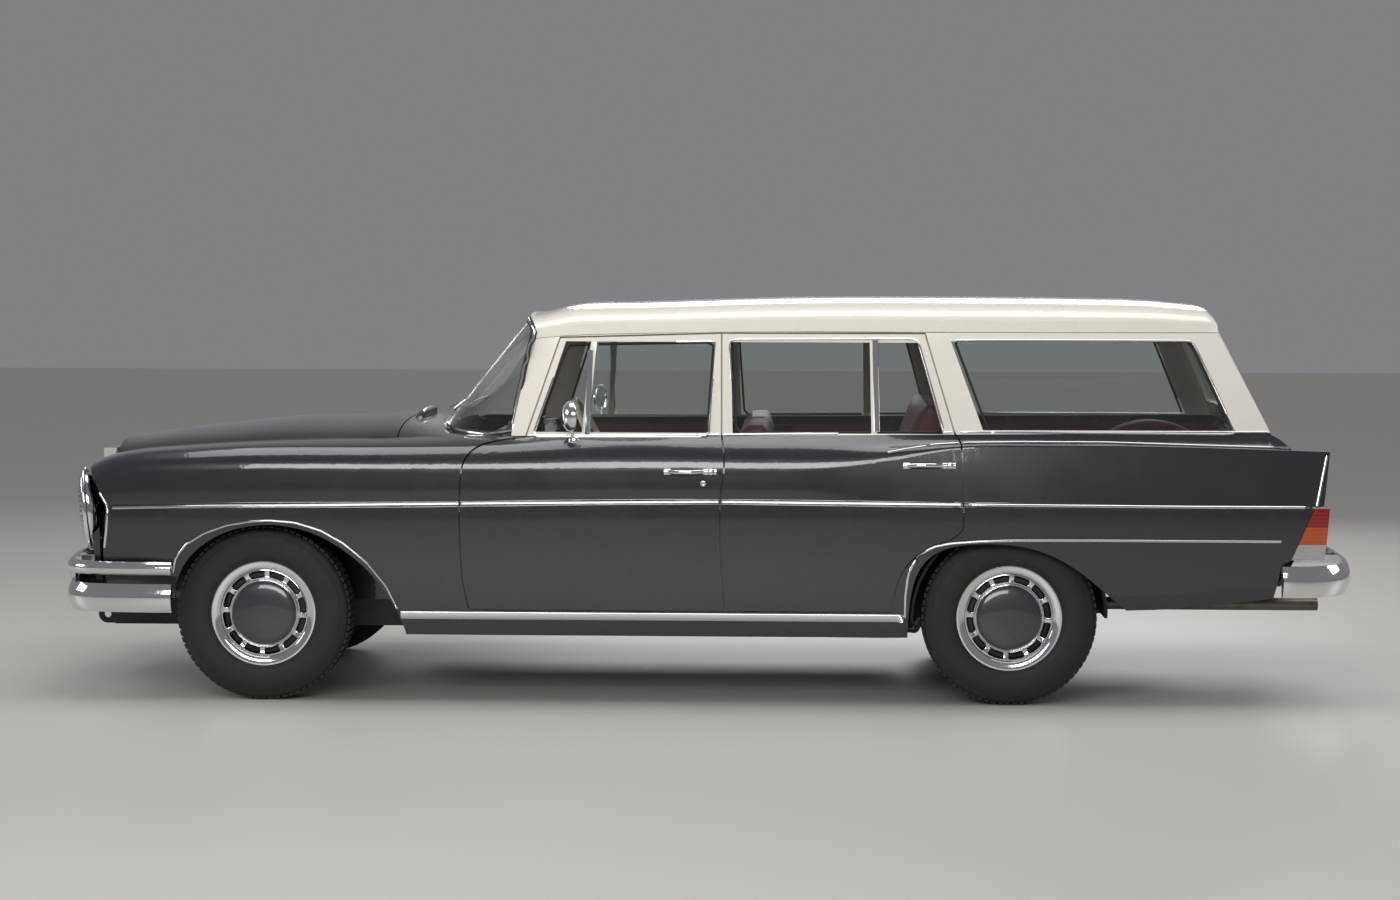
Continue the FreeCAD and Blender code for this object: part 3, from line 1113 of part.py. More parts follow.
def front_subframe():
    """Two rails, joined by tubes at their ends and by the cross member, with the suspension arms."""
    outer_y = RAIL_Y + RAIL_WIDTH
    pieces = []
    for side in (-1, 1):
        y0, y1 = sorted((side * RAIL_Y, side * outer_y))
        pieces.append(box(front(-NOSE_PANEL_AHEAD), front(FIREWALL_AFT) - JOIN_GAP, y0, y1, *RAIL_Z))
        y0, y1 = sorted((side * RAIL_Y, side * ARM_Y))
        pieces.append(box(front(-ARM_HALF), front(ARM_HALF), y0, y1, *CROSS_Z))
        y0, y1 = sorted((side * BAY_Y, side * ARM_Y))
        pieces.append(box(front(-ARM_HALF / 2), front(ARM_HALF / 2), y0, y1, *HIGH_ARM_Z))
        y0, y1 = sorted((side * BAY_Y, side * (BAY_Y + ARM_HALF)))
        pieces.append(box(front(-ARM_HALF), front(ARM_HALF), y0, y1, CROSS_Z[0], HIGH_ARM_Z[1]))
    pieces.append(box(front(-CROSS_HALF), front(CROSS_HALF), -outer_y, outer_y, *CROSS_Z))
    for x in (front(-NOSE_PANEL_AHEAD), front(FIREWALL_AFT) - RAIL_WIDTH):
        pieces.append(box(x, x + RAIL_WIDTH - JOIN_GAP, -RAIL_Y - JOIN_GAP, RAIL_Y + JOIN_GAP, *RAIL_Z))
    return one(fuse(*pieces, tow_eye()))


ENGINE_LENGTH = 700.0
ENGINE_WIDTH = 460.0
ENGINE_BASE_Z = 250.0
ENGINE_TOP_Z = 860.0
ENGINE_FRONT_AHEAD = 230.0


def engine_block():
    """The engine and its gearbox, as one plain block."""
    x0 = front(-ENGINE_FRONT_AHEAD)
    return box(x0, x0 + ENGINE_LENGTH, -ENGINE_WIDTH / 2, ENGINE_WIDTH / 2, ENGINE_BASE_Z, ENGINE_TOP_Z)


AXLE_R = 38.0
AXLE_END_Y = 672.0
DIFF_R = 118.0
DIFF_WIDTH = 190.0
DRUM_R = 128.0
DRUM_WIDTH = 58.0
SPRING_R = 55.0
SPRING_Y = 480.0


def rear_axle():
    """The rear axle with its final drive, brake drums and springs."""
    tube = cylinder_y(AXLE_R, -AXLE_END_Y, AXLE_END_Y, REAR_AXLE_X, WHEEL_Z)
    diff = cylinder_y(DIFF_R, -DIFF_WIDTH / 2, DIFF_WIDTH / 2, REAR_AXLE_X, WHEEL_Z)
    drums = [cylinder_y(DRUM_R, y, y + DRUM_WIDTH, REAR_AXLE_X, WHEEL_Z)
             for y in (AXLE_END_Y, -AXLE_END_Y - DRUM_WIDTH)]
    springs = [Part.makeCylinder(SPRING_R, LOAD_Z - FLOOR_T - WHEEL_Z, Vec(REAR_AXLE_X, y, WHEEL_Z))
               for y in (SPRING_Y, -SPRING_Y)]
    return fuse(tube, diff, *drums, *springs)


TANK_FRONT_AFT = 430.0
TANK_LENGTH = 420.0
TANK_Y = (-560.0, 380.0)
TANK_FOOT_Z = 360.0
TANK_ROUND = 24.0


def fuel_tank():
    """The tank under the load floor, rounded along its lower edges."""
    x = rear(TANK_FRONT_AFT)
    top = LOAD_Z - FLOOR_T
    tank = box(x, x + TANK_LENGTH, *TANK_Y, TANK_FOOT_Z, top)
    return tank.makeFillet(TANK_ROUND, [e for e in tank.Edges if e.BoundBox.ZMax < top - JOIN_GAP])


PIPE_R = 24.0
PIPE_Y = -250.0
PIPE_Z = 226.0
PIPE_BEAD = 2.0
PIPE_RISE_AHEAD = 330.0
PIPE_OVER_AHEAD = 190.0
PIPE_FALL_AFT = 170.0
PIPE_LOW_AFT = 370.0
PIPE_OVER_Z = 432.0
PIPE_TAIL_Z = 322.0
PIPE_TAIL_AFT = 1215.0
MUFFLER_AFT = 1700.0
MUFFLER_LENGTH = 520.0
MUFFLER_HALF = 90.0
MUFFLER_Z = (196.0, 266.0)
MUFFLER_ROUND = 30.0
HANGER_R = 8.0
HANGER_AFTS = (975.0, 1640.0, 2290.0)


def exhaust():
    """The exhaust: a pipe that climbs over the rear axle, a flat silencer ahead of it, and its hangers."""
    route = [Vec(front(FIREWALL_AFT), PIPE_Y, PIPE_Z), Vec(rear(-PIPE_RISE_AHEAD), PIPE_Y, PIPE_Z),
             Vec(rear(-PIPE_OVER_AHEAD), PIPE_Y, PIPE_OVER_Z), Vec(rear(PIPE_FALL_AFT), PIPE_Y, PIPE_OVER_Z),
             Vec(rear(PIPE_LOW_AFT), PIPE_Y, PIPE_TAIL_Z), Vec(rear(PIPE_TAIL_AFT), PIPE_Y, PIPE_TAIL_Z)]
    pieces = [Part.makeCylinder(PIPE_R, (b - a).Length, a, b - a) for a, b in zip(route, route[1:])]
    pieces += [Part.makeSphere(PIPE_R + PIPE_BEAD, bend) for bend in route[1:-1]]
    x = front(MUFFLER_AFT)
    muffler = box(x, x + MUFFLER_LENGTH, PIPE_Y - MUFFLER_HALF, PIPE_Y + MUFFLER_HALF, *MUFFLER_Z)
    long_edges = [e for e in muffler.Edges if e.BoundBox.XLength > MUFFLER_LENGTH - JOIN_GAP]
    pieces.append(muffler.makeFillet(MUFFLER_ROUND, long_edges))
    under_floor = FLOOR_Z - FLOOR_T
    pieces += [Part.makeCylinder(HANGER_R, under_floor - PIPE_Z, Vec(front(aft), PIPE_Y, PIPE_Z))
               for aft in HANGER_AFTS]
    return fuse(*pieces)


# Wheels, brakes and steering
DISH_Y = 30.0
HUB_R = 58.0


def ring_profile(points, y):
    """A ring turned round the wheel's axle, from points as distance from the wheel's middle and radius."""
    ring = [Vec(0, y + a, r) for a, r in points]
    return Part.Face(Part.Wire(chain(ring + ring[:1]))).revolve(Vec(0, 0, 0), Vec(0, 1, 0), 360)


TYRE_SHARES = ((0.75, 0.007), (0.83, 0.157), (0.94, 0.20), (1.0, 0.47), (0.985, 0.72), (0.90, 0.90),
               (0.76, 0.985), (0.62, 1.0))
TYRE_FACETS = 44


def tyre(x, y):
    """A tyre of flat facets. Its section is in shares of half the width and of the rubber's height."""
    side = [(TYRE_WIDTH / 2 * u, RIM_SEAT_R + (TYRE_R - RIM_SEAT_R) * v) for u, v in TYRE_SHARES]
    ring = side + [(-a, r) for a, r in side[::-1]]
    rings = []
    for i in range(TYRE_FACETS):
        angle = 2 * math.pi * i / TYRE_FACETS
        rings.append([Vec(x + r * math.sin(angle), y + a, WHEEL_Z - r * math.cos(angle)) for a, r in ring])
    faces = []
    for near, far in zip(rings, rings[1:] + rings[:1]):
        for i in range(len(ring)):
            j = (i + 1) % len(ring)
            faces.append(Part.Face(Part.makePolygon([near[i], near[j], far[j], far[i], near[i]])))
    solid = Part.makeSolid(Part.makeShell(faces))
    if solid.Volume < 0:
        solid.reverse()
    return solid


RIM_LIP = 8.0
RIM_T = 10.0
DISH_SHARES = ((0.0, 0.0), (0.65, 0.0), (0.74, -0.35), (1.0, 0.12))
CAP_OUT = 52.0


def rim(x, y, sign):
    """A pressed rim with a dished centre and a domed cap, turned about the axle, outer side towards +Y."""
    tread = RIM_WIDTH / 2
    seat = RIM_SEAT_R
    barrel = [(-tread, seat), (tread, seat), (tread + RIM_LIP, RIM_R), (tread + RIM_LIP + RIM_T / 2, RIM_R),
              (tread + RIM_T / 2, seat - RIM_T), (-tread, seat - RIM_T)]
    dish = [(CAP_OUT + DISH_Y * b, (RIM_SEAT_R - RIM_T / 2) * a) for a, b in DISH_SHARES]
    back = [(b - RIM_T, a) for b, a in dish]
    solid = one(ring_profile(barrel, 0).fuse(ring_profile(dish + back[::-1], 0)))
    if sign < 0:
        solid = mirrored(solid)
    return solid.translated(Vec(x, y, WHEEL_Z))


KNUCKLE_POST = 34.0


def knuckle():
    """The upright that carries the right front wheel, with its brake drum, at the kingpin."""
    y = KINGPIN_Y - DRUM_WIDTH / 2
    drum = cylinder_y(DRUM_R, y, y + DRUM_WIDTH, FRONT_AXLE_X, WHEEL_Z)
    post = box(front(-KNUCKLE_POST / 2), front(KNUCKLE_POST / 2), y - KNUCKLE_POST, y + JOIN_GAP,
               CROSS_Z[1] + PANEL_GAP, HIGH_ARM_Z[0] - PANEL_GAP)
    stub = cylinder_y(HUB_R / 2, y, TRACK / 2 + CAP_OUT - RIM_T - PANEL_GAP, FRONT_AXLE_X, WHEEL_Z)
    return fuse(drum, post, stub)


STEER_CENTRE_AFT = 1215.0
STEER_Y = -380.0
STEER_CENTRE_Z = 921.0
STEER_R = 200.0
STEER_GRIP_R = 12.0
STEER_SPOKE_R = 8.0
COLUMN_LEAN = 28.0
COLUMN_R = 26.0
COLUMN_LENGTH = 330.0
HUB_DEPTH = 46.0


def along_column(distance):
    """The place a distance down the steering column from the wheel's middle."""
    angle = math.radians(COLUMN_LEAN)
    return Vec(front(STEER_CENTRE_AFT) - distance * math.cos(angle), STEER_Y,
               STEER_CENTRE_Z - distance * math.sin(angle))


def steering_wheel():
    """The steering wheel: its grip, its hub and two spokes."""
    axis = along_column(-1) - along_column(0)
    grip = Part.makeTorus(STEER_R, STEER_GRIP_R, along_column(0), axis)
    hub = Part.makeCylinder(COLUMN_R, HUB_DEPTH, along_column(HUB_DEPTH), axis)
    root = along_column(HUB_DEPTH / 2)
    runs = [along_column(0) + Vec(0, side * STEER_R, 0) - root for side in (-1, 1)]
    return fuse(grip, hub, *[Part.makeCylinder(STEER_SPOKE_R, run.Length, root, run) for run in runs])


# Seats and dashboard
DASH_FRONT_AFT = 800.0
DASH_BACK_AFT = 985.0
DASH_TOP_Z = 972.0
DASH_FOOT_Z = 720.0
DASH_HALF = 735.0
DASH_SHELF_Z = 792.0
DASH_BROW = 30.0
DASH_TUCK = 60.0
DASH_GAP = 22.0
SHELF_HALF = 588.0
SHELF_T = 60.0


def dashboard():
    """The dashboard behind the windscreen's foot, with the steering column and a shelf from the wall."""
    x0, x1 = front(DASH_FRONT_AFT), front(DASH_BACK_AFT)
    face = polygon([(x0, DASH_SHELF_Z), (x0, DASH_TOP_Z), (x1 - DASH_BROW, DASH_TOP_Z),
                    (x1, DASH_TOP_Z - DASH_BROW), (x1 - DASH_BROW, DASH_FOOT_Z),
                    (x0 + DASH_TUCK, DASH_FOOT_Z)])
    room = behind_screen(front(WINDSCREEN_CENTRE_AFT) + DASH_GAP, front(WINDSCREEN_CORNER_AFT) + DASH_GAP,
                         SCREEN_HALF_FOOT)
    panel = side_prism(face, -DASH_HALF, DASH_HALF).common(room)
    axis = along_column(1) - along_column(0)
    tube = Part.makeCylinder(COLUMN_R, COLUMN_LENGTH, along_column(HUB_DEPTH + PANEL_GAP), axis)
    shelf = box(front(FIREWALL_AFT) + FIREWALL_T, x0 + JOIN_GAP, -SHELF_HALF, SHELF_HALF,
                DASH_SHELF_Z, DASH_SHELF_Z + SHELF_T)
    return largest(fuse(panel, tube, shelf))


SEAT_FRONT_AFT = 1290.0
SEAT_BACK_AFT = 1810.0
SEAT_TOP_Z = 565.0
SEAT_HEAD_Z = 1056.0
SEAT_HEAD_AFT = 1886.0
SEAT_BACK_T = 125.0
SEAT_BEND_SHARE = 0.97
SEAT_ROUND = 24.0
SEAT_Y = (45.0, 665.0)
REAR_SEAT_FRONT_AHEAD = 720.0
REAR_SEAT_HEAD_Z = 1124.0
REAR_SEAT_TOP_Z = 580.0
REAR_SEAT_HEAD_AHEAD = 195.0
REAR_SEAT_HALF = 590.0


def seat(x_front, x_back, x_head, base_z, top_z, head_z, back_t, y0, y1):
    """A seat: a cushion and a leaning back, as one closed solid with rounded edges."""
    bend_z = top_z * SEAT_BEND_SHARE
    face = polygon([(x_front, base_z), (x_front, top_z), (x_back - back_t, bend_z), (x_head - back_t, head_z),
                    (x_head, head_z), (x_back, bend_z), (x_back, base_z)])
    solid = side_prism(face, y0, y1)
    rounded = [e for e in solid.Edges
               if e.BoundBox.YLength > y1 - y0 - JOIN_GAP and e.BoundBox.ZMin > base_z + JOIN_GAP]
    return solid.makeFillet(SEAT_ROUND, rounded)


def front_seat():
    """The right front seat."""
    return seat(front(SEAT_FRONT_AFT), front(SEAT_BACK_AFT), front(SEAT_HEAD_AFT), FLOOR_Z, SEAT_TOP_Z,
                SEAT_HEAD_Z, SEAT_BACK_T, *SEAT_Y)


def rear_seat():
    """The rear bench, against the step of the load floor."""
    return seat(rear(-REAR_SEAT_FRONT_AHEAD), rear(-WHEELHOUSE_R) - FLOOR_T - JOIN_GAP,
                rear(-REAR_SEAT_HEAD_AHEAD), FLOOR_Z, REAR_SEAT_TOP_Z, REAR_SEAT_HEAD_Z, SEAT_BACK_T,
                -REAR_SEAT_HALF, REAR_SEAT_HALF)


SPARE_R = 340.0
SPARE_AFT = 665.0
SPARE_Y = (520.0, 720.0)
SPARE_ROUND = 24.0


def spare_wheel_cover():
    """The spare wheel under its soft cover, standing in the well."""
    z = WELL_Z + SPARE_R
    drum = cylinder_y(SPARE_R, *SPARE_Y, rear(SPARE_AFT), z)
    return drum.makeFillet(SPARE_ROUND, [e for e in drum.Edges if e.Closed and e.Length > SPARE_R])


CUBIC_MM_PER_LITRE = 1e6


def save(name, shape):
    """Writes one piece to its file."""
    shape.exportStep(os.path.join("parts", name + ".step"))
    print(name, round(shape.Volume / CUBIC_MM_PER_LITRE, 2), "litres,", len(shape.Solids), "solids, valid",
          shape.isValid())


def save_pair(name, right):
    """Saves a piece of the right side and its mirror image as two."""
    save(name + "_right", right)
    save(name + "_left", mirrored(right))


def save_both(name, right):
    """Saves a piece of the right side and its mirror image together."""
    save(name, Part.makeCompound([right, mirrored(right)]))


os.makedirs("parts", exist_ok=True)
wing, frame = right_side()
save_pair("wing_front", wing)
save_pair("side_frame", frame)
for end, outline, windows in (("front", FRONT_DOOR, (VENT, FRONT_MAIN)),
                              ("rear", REAR_DOOR, (REAR_MAIN, REAR_FIXED))):
    save_pair("door_" + end, right_door(outline, windows))
    panes = [GLASS.common(through(window)) for window in windows]
    save_pair("door_" + end + "_glass", one(Part.makeCompound(panes)))
save_both("quarter_windows", GLASS.common(through(QUARTER)))
save("roof_panel", roof())
save("windscreen", windscreen())
save("bonnet", bonnet())
save("grille", one(grille()))
save("nose_panel", nose_panel())
save_both("headlamps", headlamp())
save("front_bumper", one(front_bumper()))
save("rear_bumper", one(rear_bumper()))
save_both("tail_lamps", one(tail_lamp()))
save("tail_panel", tail_panel())
save("tailgate", tailgate())
save("hatch", one(hatch()))
save("hatch_glass", hatch_glass())
save("bulkhead", bulkhead())
save("floor_pan", floor_pan())
save_both("load_trims", side_trim())
save_both("bay_walls", bay_wall())
save("front_subframe", front_subframe())
save("engine_block", engine_block())
save("rear_axle", one(rear_axle()))
save("fuel_tank", fuel_tank())
save("exhaust", one(exhaust()))
save("steering_wheel", one(steering_wheel()))
save("dashboard", dashboard())
save_both("front_seats", front_seat())
save("rear_seat", rear_seat())
save("spare_wheel_cover", spare_wheel_cover())
for end, x in (("front", FRONT_AXLE_X), ("rear", REAR_AXLE_X)):
    for side, sign in (("left", -1), ("right", 1)):
        save("tyre_%s_%s" % (end, side), tyre(x, sign * TRACK / 2))
        save("rim_%s_%s" % (end, side), rim(x, sign * TRACK / 2, sign))
save_pair("knuckle", one(knuckle()))
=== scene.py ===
# %% [markdown]
# A station wagon of the early 1960s. Its panels, glass, wheels and seats come packed as a frame, in
# metres, with +Z up and the nose towards -X. This script gives them their finishes, trim and upholstery.

# %% Load the frame
import json
import math

import bmesh
import bpy
from mathutils import Matrix, Vector

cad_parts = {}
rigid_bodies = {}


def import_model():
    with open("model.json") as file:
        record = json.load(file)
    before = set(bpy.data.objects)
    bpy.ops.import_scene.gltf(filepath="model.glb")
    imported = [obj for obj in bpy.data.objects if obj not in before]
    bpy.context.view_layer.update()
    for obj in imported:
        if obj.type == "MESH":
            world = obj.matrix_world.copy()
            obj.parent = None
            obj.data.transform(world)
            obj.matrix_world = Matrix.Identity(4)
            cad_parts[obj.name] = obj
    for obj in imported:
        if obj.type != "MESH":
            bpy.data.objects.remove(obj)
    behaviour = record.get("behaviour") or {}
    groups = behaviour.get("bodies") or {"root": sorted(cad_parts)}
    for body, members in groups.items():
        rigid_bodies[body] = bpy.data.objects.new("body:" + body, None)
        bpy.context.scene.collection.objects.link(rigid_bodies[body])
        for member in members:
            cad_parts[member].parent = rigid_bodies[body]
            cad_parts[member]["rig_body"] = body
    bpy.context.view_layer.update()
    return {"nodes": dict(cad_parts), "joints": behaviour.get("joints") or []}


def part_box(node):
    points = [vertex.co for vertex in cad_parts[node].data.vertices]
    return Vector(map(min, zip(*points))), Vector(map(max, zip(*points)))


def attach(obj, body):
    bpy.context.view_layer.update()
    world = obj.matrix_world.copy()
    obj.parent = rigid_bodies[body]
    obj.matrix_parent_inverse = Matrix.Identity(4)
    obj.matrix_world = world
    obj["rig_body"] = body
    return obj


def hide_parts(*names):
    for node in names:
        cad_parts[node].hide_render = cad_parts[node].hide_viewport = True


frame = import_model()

NODES = frame["nodes"]
SCENE = bpy.context.scene
JOINTS = {joint["name"]: joint for joint in frame["joints"]}
AXLES = {end: Vector(JOINTS["wheel_" + end + "_left_spin"]["pos_m"]) for end in ("front", "rear")}
FRONT_X = AXLES["front"].x
SIDES = (("left", -1), ("right", 1))
print("panels and parts in the frame:", len(NODES))

# %% [markdown]
# The camera stands where the photographer stood: level with the belt line, a good twelve metres off,
# with a long lens, turned slightly towards the nose. Its place was fitted on the wheels and bumpers.

# %% Camera
LENS_MM = 79.87
CAMERA_PLACE = Vector((0.3665, -12.191, 1.568))
CAMERA_YAW = 0.0333
CAMERA_PITCH = 0.0556
CAMERA_ROLL = 0.0032

camera = bpy.data.objects.new("camera", bpy.data.cameras.new("camera"))
camera.data.lens = LENS_MM
camera.data.sensor_width = 36.0
turn = Matrix.Rotation(CAMERA_YAW, 4, "Z") @ Matrix.Rotation(math.pi / 2 - CAMERA_PITCH, 4, "X")
camera.matrix_world = Matrix.Translation(CAMERA_PLACE) @ turn @ Matrix.Rotation(CAMERA_ROLL, 4, "Z")
SCENE.collection.objects.link(camera)
SCENE.camera = camera
SCENE.view_settings.view_transform = "Standard"
print("camera", [round(c, 2) for c in camera.matrix_world.translation])

# %% [markdown]
# Places on the car are easiest to read the way a body shop writes them: millimetres behind the front
# axle, millimetres from the middle of the car, and millimetres above the ground. One helper turns such
# a place into a vector in metres.


# %% Places in shop measures
def at(aft, across, up):
    """A place given in millimetres: behind the front axle, to the right of the middle, above the ground."""
    return Vector((FRONT_X + aft / 1000, across / 1000, up / 1000))


def shares(steps):
    """Even shares from 0 to 1."""
    return [i / steps for i in range(steps + 1)]


def spaced(points, step):
    """Points set at even steps along a run of straight lines, with its corners kept."""
    result = [Vector(points[0])]
    for a, b in zip(points, points[1:]):
        a, b = Vector(a), Vector(b)
        count = max(1, round((b - a).length / step))
        result += [a.lerp(b, (i + 1) / count) for i in range(count)]
    return result


wheelbase_mm = round((AXLES["rear"].x - FRONT_X) * 1000)
print("front axle at", round(FRONT_X, 3), "and the rear axle", wheelbase_mm, "mm behind it")

# %% [markdown]
# Every finish below is built from the same few shader nodes. One function adds a node and wires it, one
# makes a new material, and one turns the sRGB hex value of a paint card into the linear light that the
# shader wants. `uneven` gives a surface the small differences that tell a real finish from a flat
# colour: clouds of slightly different gloss, a second tint, and fine relief, all at a size in millimetres.
# `surface` makes a whole material that needs no more than that.


# %% Material helpers
CLOUDS = (0.3, 0.7)      # noise seldom leaves this span
WAVE_RADIANS = 20        # how far a wave texture turns in one unit at a scale of 1


def linear(hex_colour):
    """An sRGB hex value as linear red, green, blue and alpha."""
    parts = [int(hex_colour[i:i + 2], 16) / 255 for i in (1, 3, 5)]
    return [p / 12.92 if p <= 0.04045 else ((p + 0.055) / 1.055) ** 2.4 for p in parts] + [1.0]


def add(tree, kind, links=(), **settings):
    """A node with its settings; a link is (input name, output socket). Sockets are set by name."""
    node = tree.nodes.new(kind)
    for key, value in settings.items():
        if hasattr(node, key):
            setattr(node, key, value)
        else:
            node.inputs[key.replace("_", " ")].default_value = value
    for name, socket in links:
        tree.links.new(socket, node.inputs[name])
    return node


def finish(name, **settings):
    """A new material with sockets of its shader set; returns the material, its tree and the shader."""
    material = bpy.data.materials.new(name)
    material.use_nodes = True
    shader = material.node_tree.nodes["Principled BSDF"]
    for key, value in settings.items():
        shader.inputs[key.replace("_", " ")].default_value = value
    return material, material.node_tree, shader


def between(tree, factor, low, high, start=0.0, end=1.0):
    """A colour that goes from one hex value to another as a factor goes from start to end."""
    ramp = add(tree, "ShaderNodeValToRGB", [("Fac", factor)])
    for element, colour, place in zip(ramp.color_ramp.elements, (low, high), (start, end)):
        element.color = linear(colour)
        element.position = place
    return ramp.outputs["Color"]


def uneven(tree, shader, size_mm, gloss, relief_mm=0.0, tints=None, stretch=(1, 1, 1)):
    """Clouds of a size in mm: roughness runs between two values, with relief and two tints if given."""
    place = add(tree, "ShaderNodeTexCoord").outputs["Object"]
    scaled = add(tree, "ShaderNodeMapping", [("Vector", place)], Scale=stretch).outputs["Vector"]
    noise = add(tree, "ShaderNodeTexNoise", [("Vector", scaled)], Scale=1000 / size_mm, Detail=4)
    noise = noise.outputs["Fac"]
    spread = add(tree, "ShaderNodeMapRange", [("Value", noise)], From_Min=CLOUDS[0], From_Max=CLOUDS[1],
                 To_Min=gloss[0], To_Max=gloss[1]).outputs["Result"]
    tree.links.new(spread, shader.inputs["Roughness"])
    if relief_mm:
        bump = add(tree, "ShaderNodeBump", [("Height", noise)], Distance=relief_mm / 1000)
        tree.links.new(bump.outputs["Normal"], shader.inputs["Normal"])
    if tints:
        tree.links.new(between(tree, noise, *tints, *CLOUDS), shader.inputs["Base Color"])
    return place


def surface(name, colour, size_mm, gloss, relief_mm=0.0, tints=None, stretch=(1, 1, 1), **settings):
    """A material of one colour, with the unevenness of its real finish."""
    material, tree, shader = finish(name, Base_Color=linear(colour), **settings)
    uneven(tree, shader, size_mm, gloss, relief_mm, tints, stretch)
    return material


def wave_scale(rise_mm):
    """The scale at which a wave texture takes a distance in mm from its trough to its crest."""
    return 1000 / rise_mm / WAVE_RADIANS * math.pi


# %% [markdown]
# The body is sprayed with a solid dark slate enamel under a clear polish, and the roof, pillars and
# window frames with cream. On the real car the two colours meet in a masked line at the belt. Here one
# material does both: it compares the height of each point with the belt's height at that place along
# the car. The orange peel of sprayed enamel is a fine, very shallow relief.

# %% Two-tone body paint
BELT_LINE = ((0.969, 0.9815), (1.30, 0.9845), (1.70, 0.9885), (2.30, 0.9985), (2.75, 1.0035), (3.80, 1.0055))
SLATE, CREAM = "#191f24", "#dcd7cb"
ENAMEL_CLOUD_MM, ENAMEL_GLOSS = 160, (0.22, 0.30)
PEEL_MM, PEEL_DEPTH_MM = 9, 0.06


def paint(name, low, high):
    """Sprayed enamel, one colour below the belt line and one above it."""
    material, tree, shader = finish(name, Coat_Weight=1.0, Coat_Roughness=0.02, IOR=1.5)
    place = uneven(tree, shader, ENAMEL_CLOUD_MM, ENAMEL_GLOSS)
    peel = add(tree, "ShaderNodeTexNoise", [("Vector", place)], Scale=1000 / PEEL_MM, Detail=2)
    bump = add(tree, "ShaderNodeBump", [("Height", peel.outputs["Fac"])], Distance=PEEL_DEPTH_MM / 1000)
    tree.links.new(bump.outputs["Normal"], shader.inputs["Coat Normal"])
    axes = add(tree, "ShaderNodeSeparateXYZ", [("Vector", place)])
    (x0, z0), (x1, z1) = BELT_LINE[0], BELT_LINE[-1]
    belt = add(tree, "ShaderNodeMapRange", [("Value", axes.outputs["X"])], From_Min=FRONT_X + x0,
               From_Max=FRONT_X + x1, To_Min=z0, To_Max=z1)
    above = add(tree, "ShaderNodeMath", operation="GREATER_THAN")
    tree.links.new(axes.outputs["Z"], above.inputs[0])
    tree.links.new(belt.outputs["Result"], above.inputs[1])
    tree.links.new(between(tree, above.outputs["Value"], low, high), shader.inputs["Base Color"])
    return material


TWO_TONE = paint("two_tone_enamel", SLATE, CREAM)
SLATE_PAINT = surface("slate_enamel", SLATE, ENAMEL_CLOUD_MM, ENAMEL_GLOSS, Coat_Weight=1.0,
                      Coat_Roughness=0.02)
CREAM_PAINT = surface("cream_enamel", CREAM, ENAMEL_CLOUD_MM, (0.24, 0.32), Coat_Weight=1.0,
                      Coat_Roughness=0.03)
print("paint:", SLATE, "below the belt and", CREAM, "above it")

# %% [markdown]
# Bright parts are brass or steel plated with nickel and chromium, then buffed. Chromium reflects a
# little more blue than red and is almost a mirror, so only a trace of roughness, varying in clouds
# from years of polishing, keeps it from looking like glass. Glass, rubber and the dark metals follow.

# %% Chrome, glass and rubber
CHROME = surface("polished_chromium_plate", "#dcdee0", 60, (0.05, 0.10), Metallic=1.0)
GLASS = surface("tempered_window_glass", "#eef4f1", 220, (0.0, 0.012), Transmission_Weight=1.0, IOR=1.03,
                Coat_Weight=1.0, Coat_Roughness=0.0)
RUBBER = surface("black_sealing_rubber", "#151516", 12, (0.55, 0.7), 0.05, IOR=1.52)
TYRE = surface("vulcanised_tyre_rubber", "#1d1d1e", 25, (0.62, 0.8), 0.12, ("#191919", "#252423"), IOR=1.52)
MIRROR = surface("silvered_mirror_glass", "#c9d2d4", 80, (0.015, 0.03), Metallic=1.0)
BLACK_METAL = surface("black_stove_enamel", "#121315", 40, (0.35, 0.5), 0.05, IOR=1.5)
UNDERSEAL = surface("bitumen_underseal", "#1b1a19", 14, (0.7, 0.9), 0.8, ("#161514", "#24211e"), IOR=1.5)
IRON = surface("sand_cast_iron", "#3a3836", 6, (0.55, 0.75), 0.3, ("#33302d", "#4a4541"), Metallic=0.6)
PIPE_STEEL = surface("aluminised_steel_tube", "#7d7a74", 90, (0.35, 0.6), 0.1, ("#6b6258", "#8e8b86"),
                     Metallic=1.0)
print("plated, clear and rubber finishes made")

# %% [markdown]
# The seats and door cards are trimmed in dark red leather. Real hide shows a net of fine creases around
# flat pebbles a millimetre or two across: Voronoi cells give that net, and slow clouds of a second tint
# give the wear. The grain is drawn at twice its true size so that it still shows at this distance.
# Cloth and carpet are two sets of threads that cross, each one a row of waves.

# %% Leather, cloth and carpet
GRAIN_MM, GRAIN_DEPTH_MM = 3.0, 0.3
CREASE_SHARE = 0.12      # of a pebble's width


def hide(name, dark, light):
    """Grained leather, in two tints, with the crease net as relief."""
    material, tree, shader = finish(name, IOR=1.45, Coat_Weight=0.15, Coat_Roughness=0.3)
    place = uneven(tree, shader, 70, (0.38, 0.55), 0.0, (dark, light))
    cells = add(tree, "ShaderNodeTexVoronoi", [("Vector", place)], feature="DISTANCE_TO_EDGE",
                Scale=1000 / GRAIN_MM)
    crease = add(tree, "ShaderNodeMapRange", [("Value", cells.outputs["Distance"])], From_Max=CREASE_SHARE)
    bump = add(tree, "ShaderNodeBump", [("Height", crease.outputs["Result"])],
               Distance=GRAIN_DEPTH_MM / 1000, Strength=0.6)
    tree.links.new(bump.outputs["Normal"], shader.inputs["Normal"])
    return material


RED_LEATHER = hide("grained_red_leather", "#551317", "#6d1a1d")


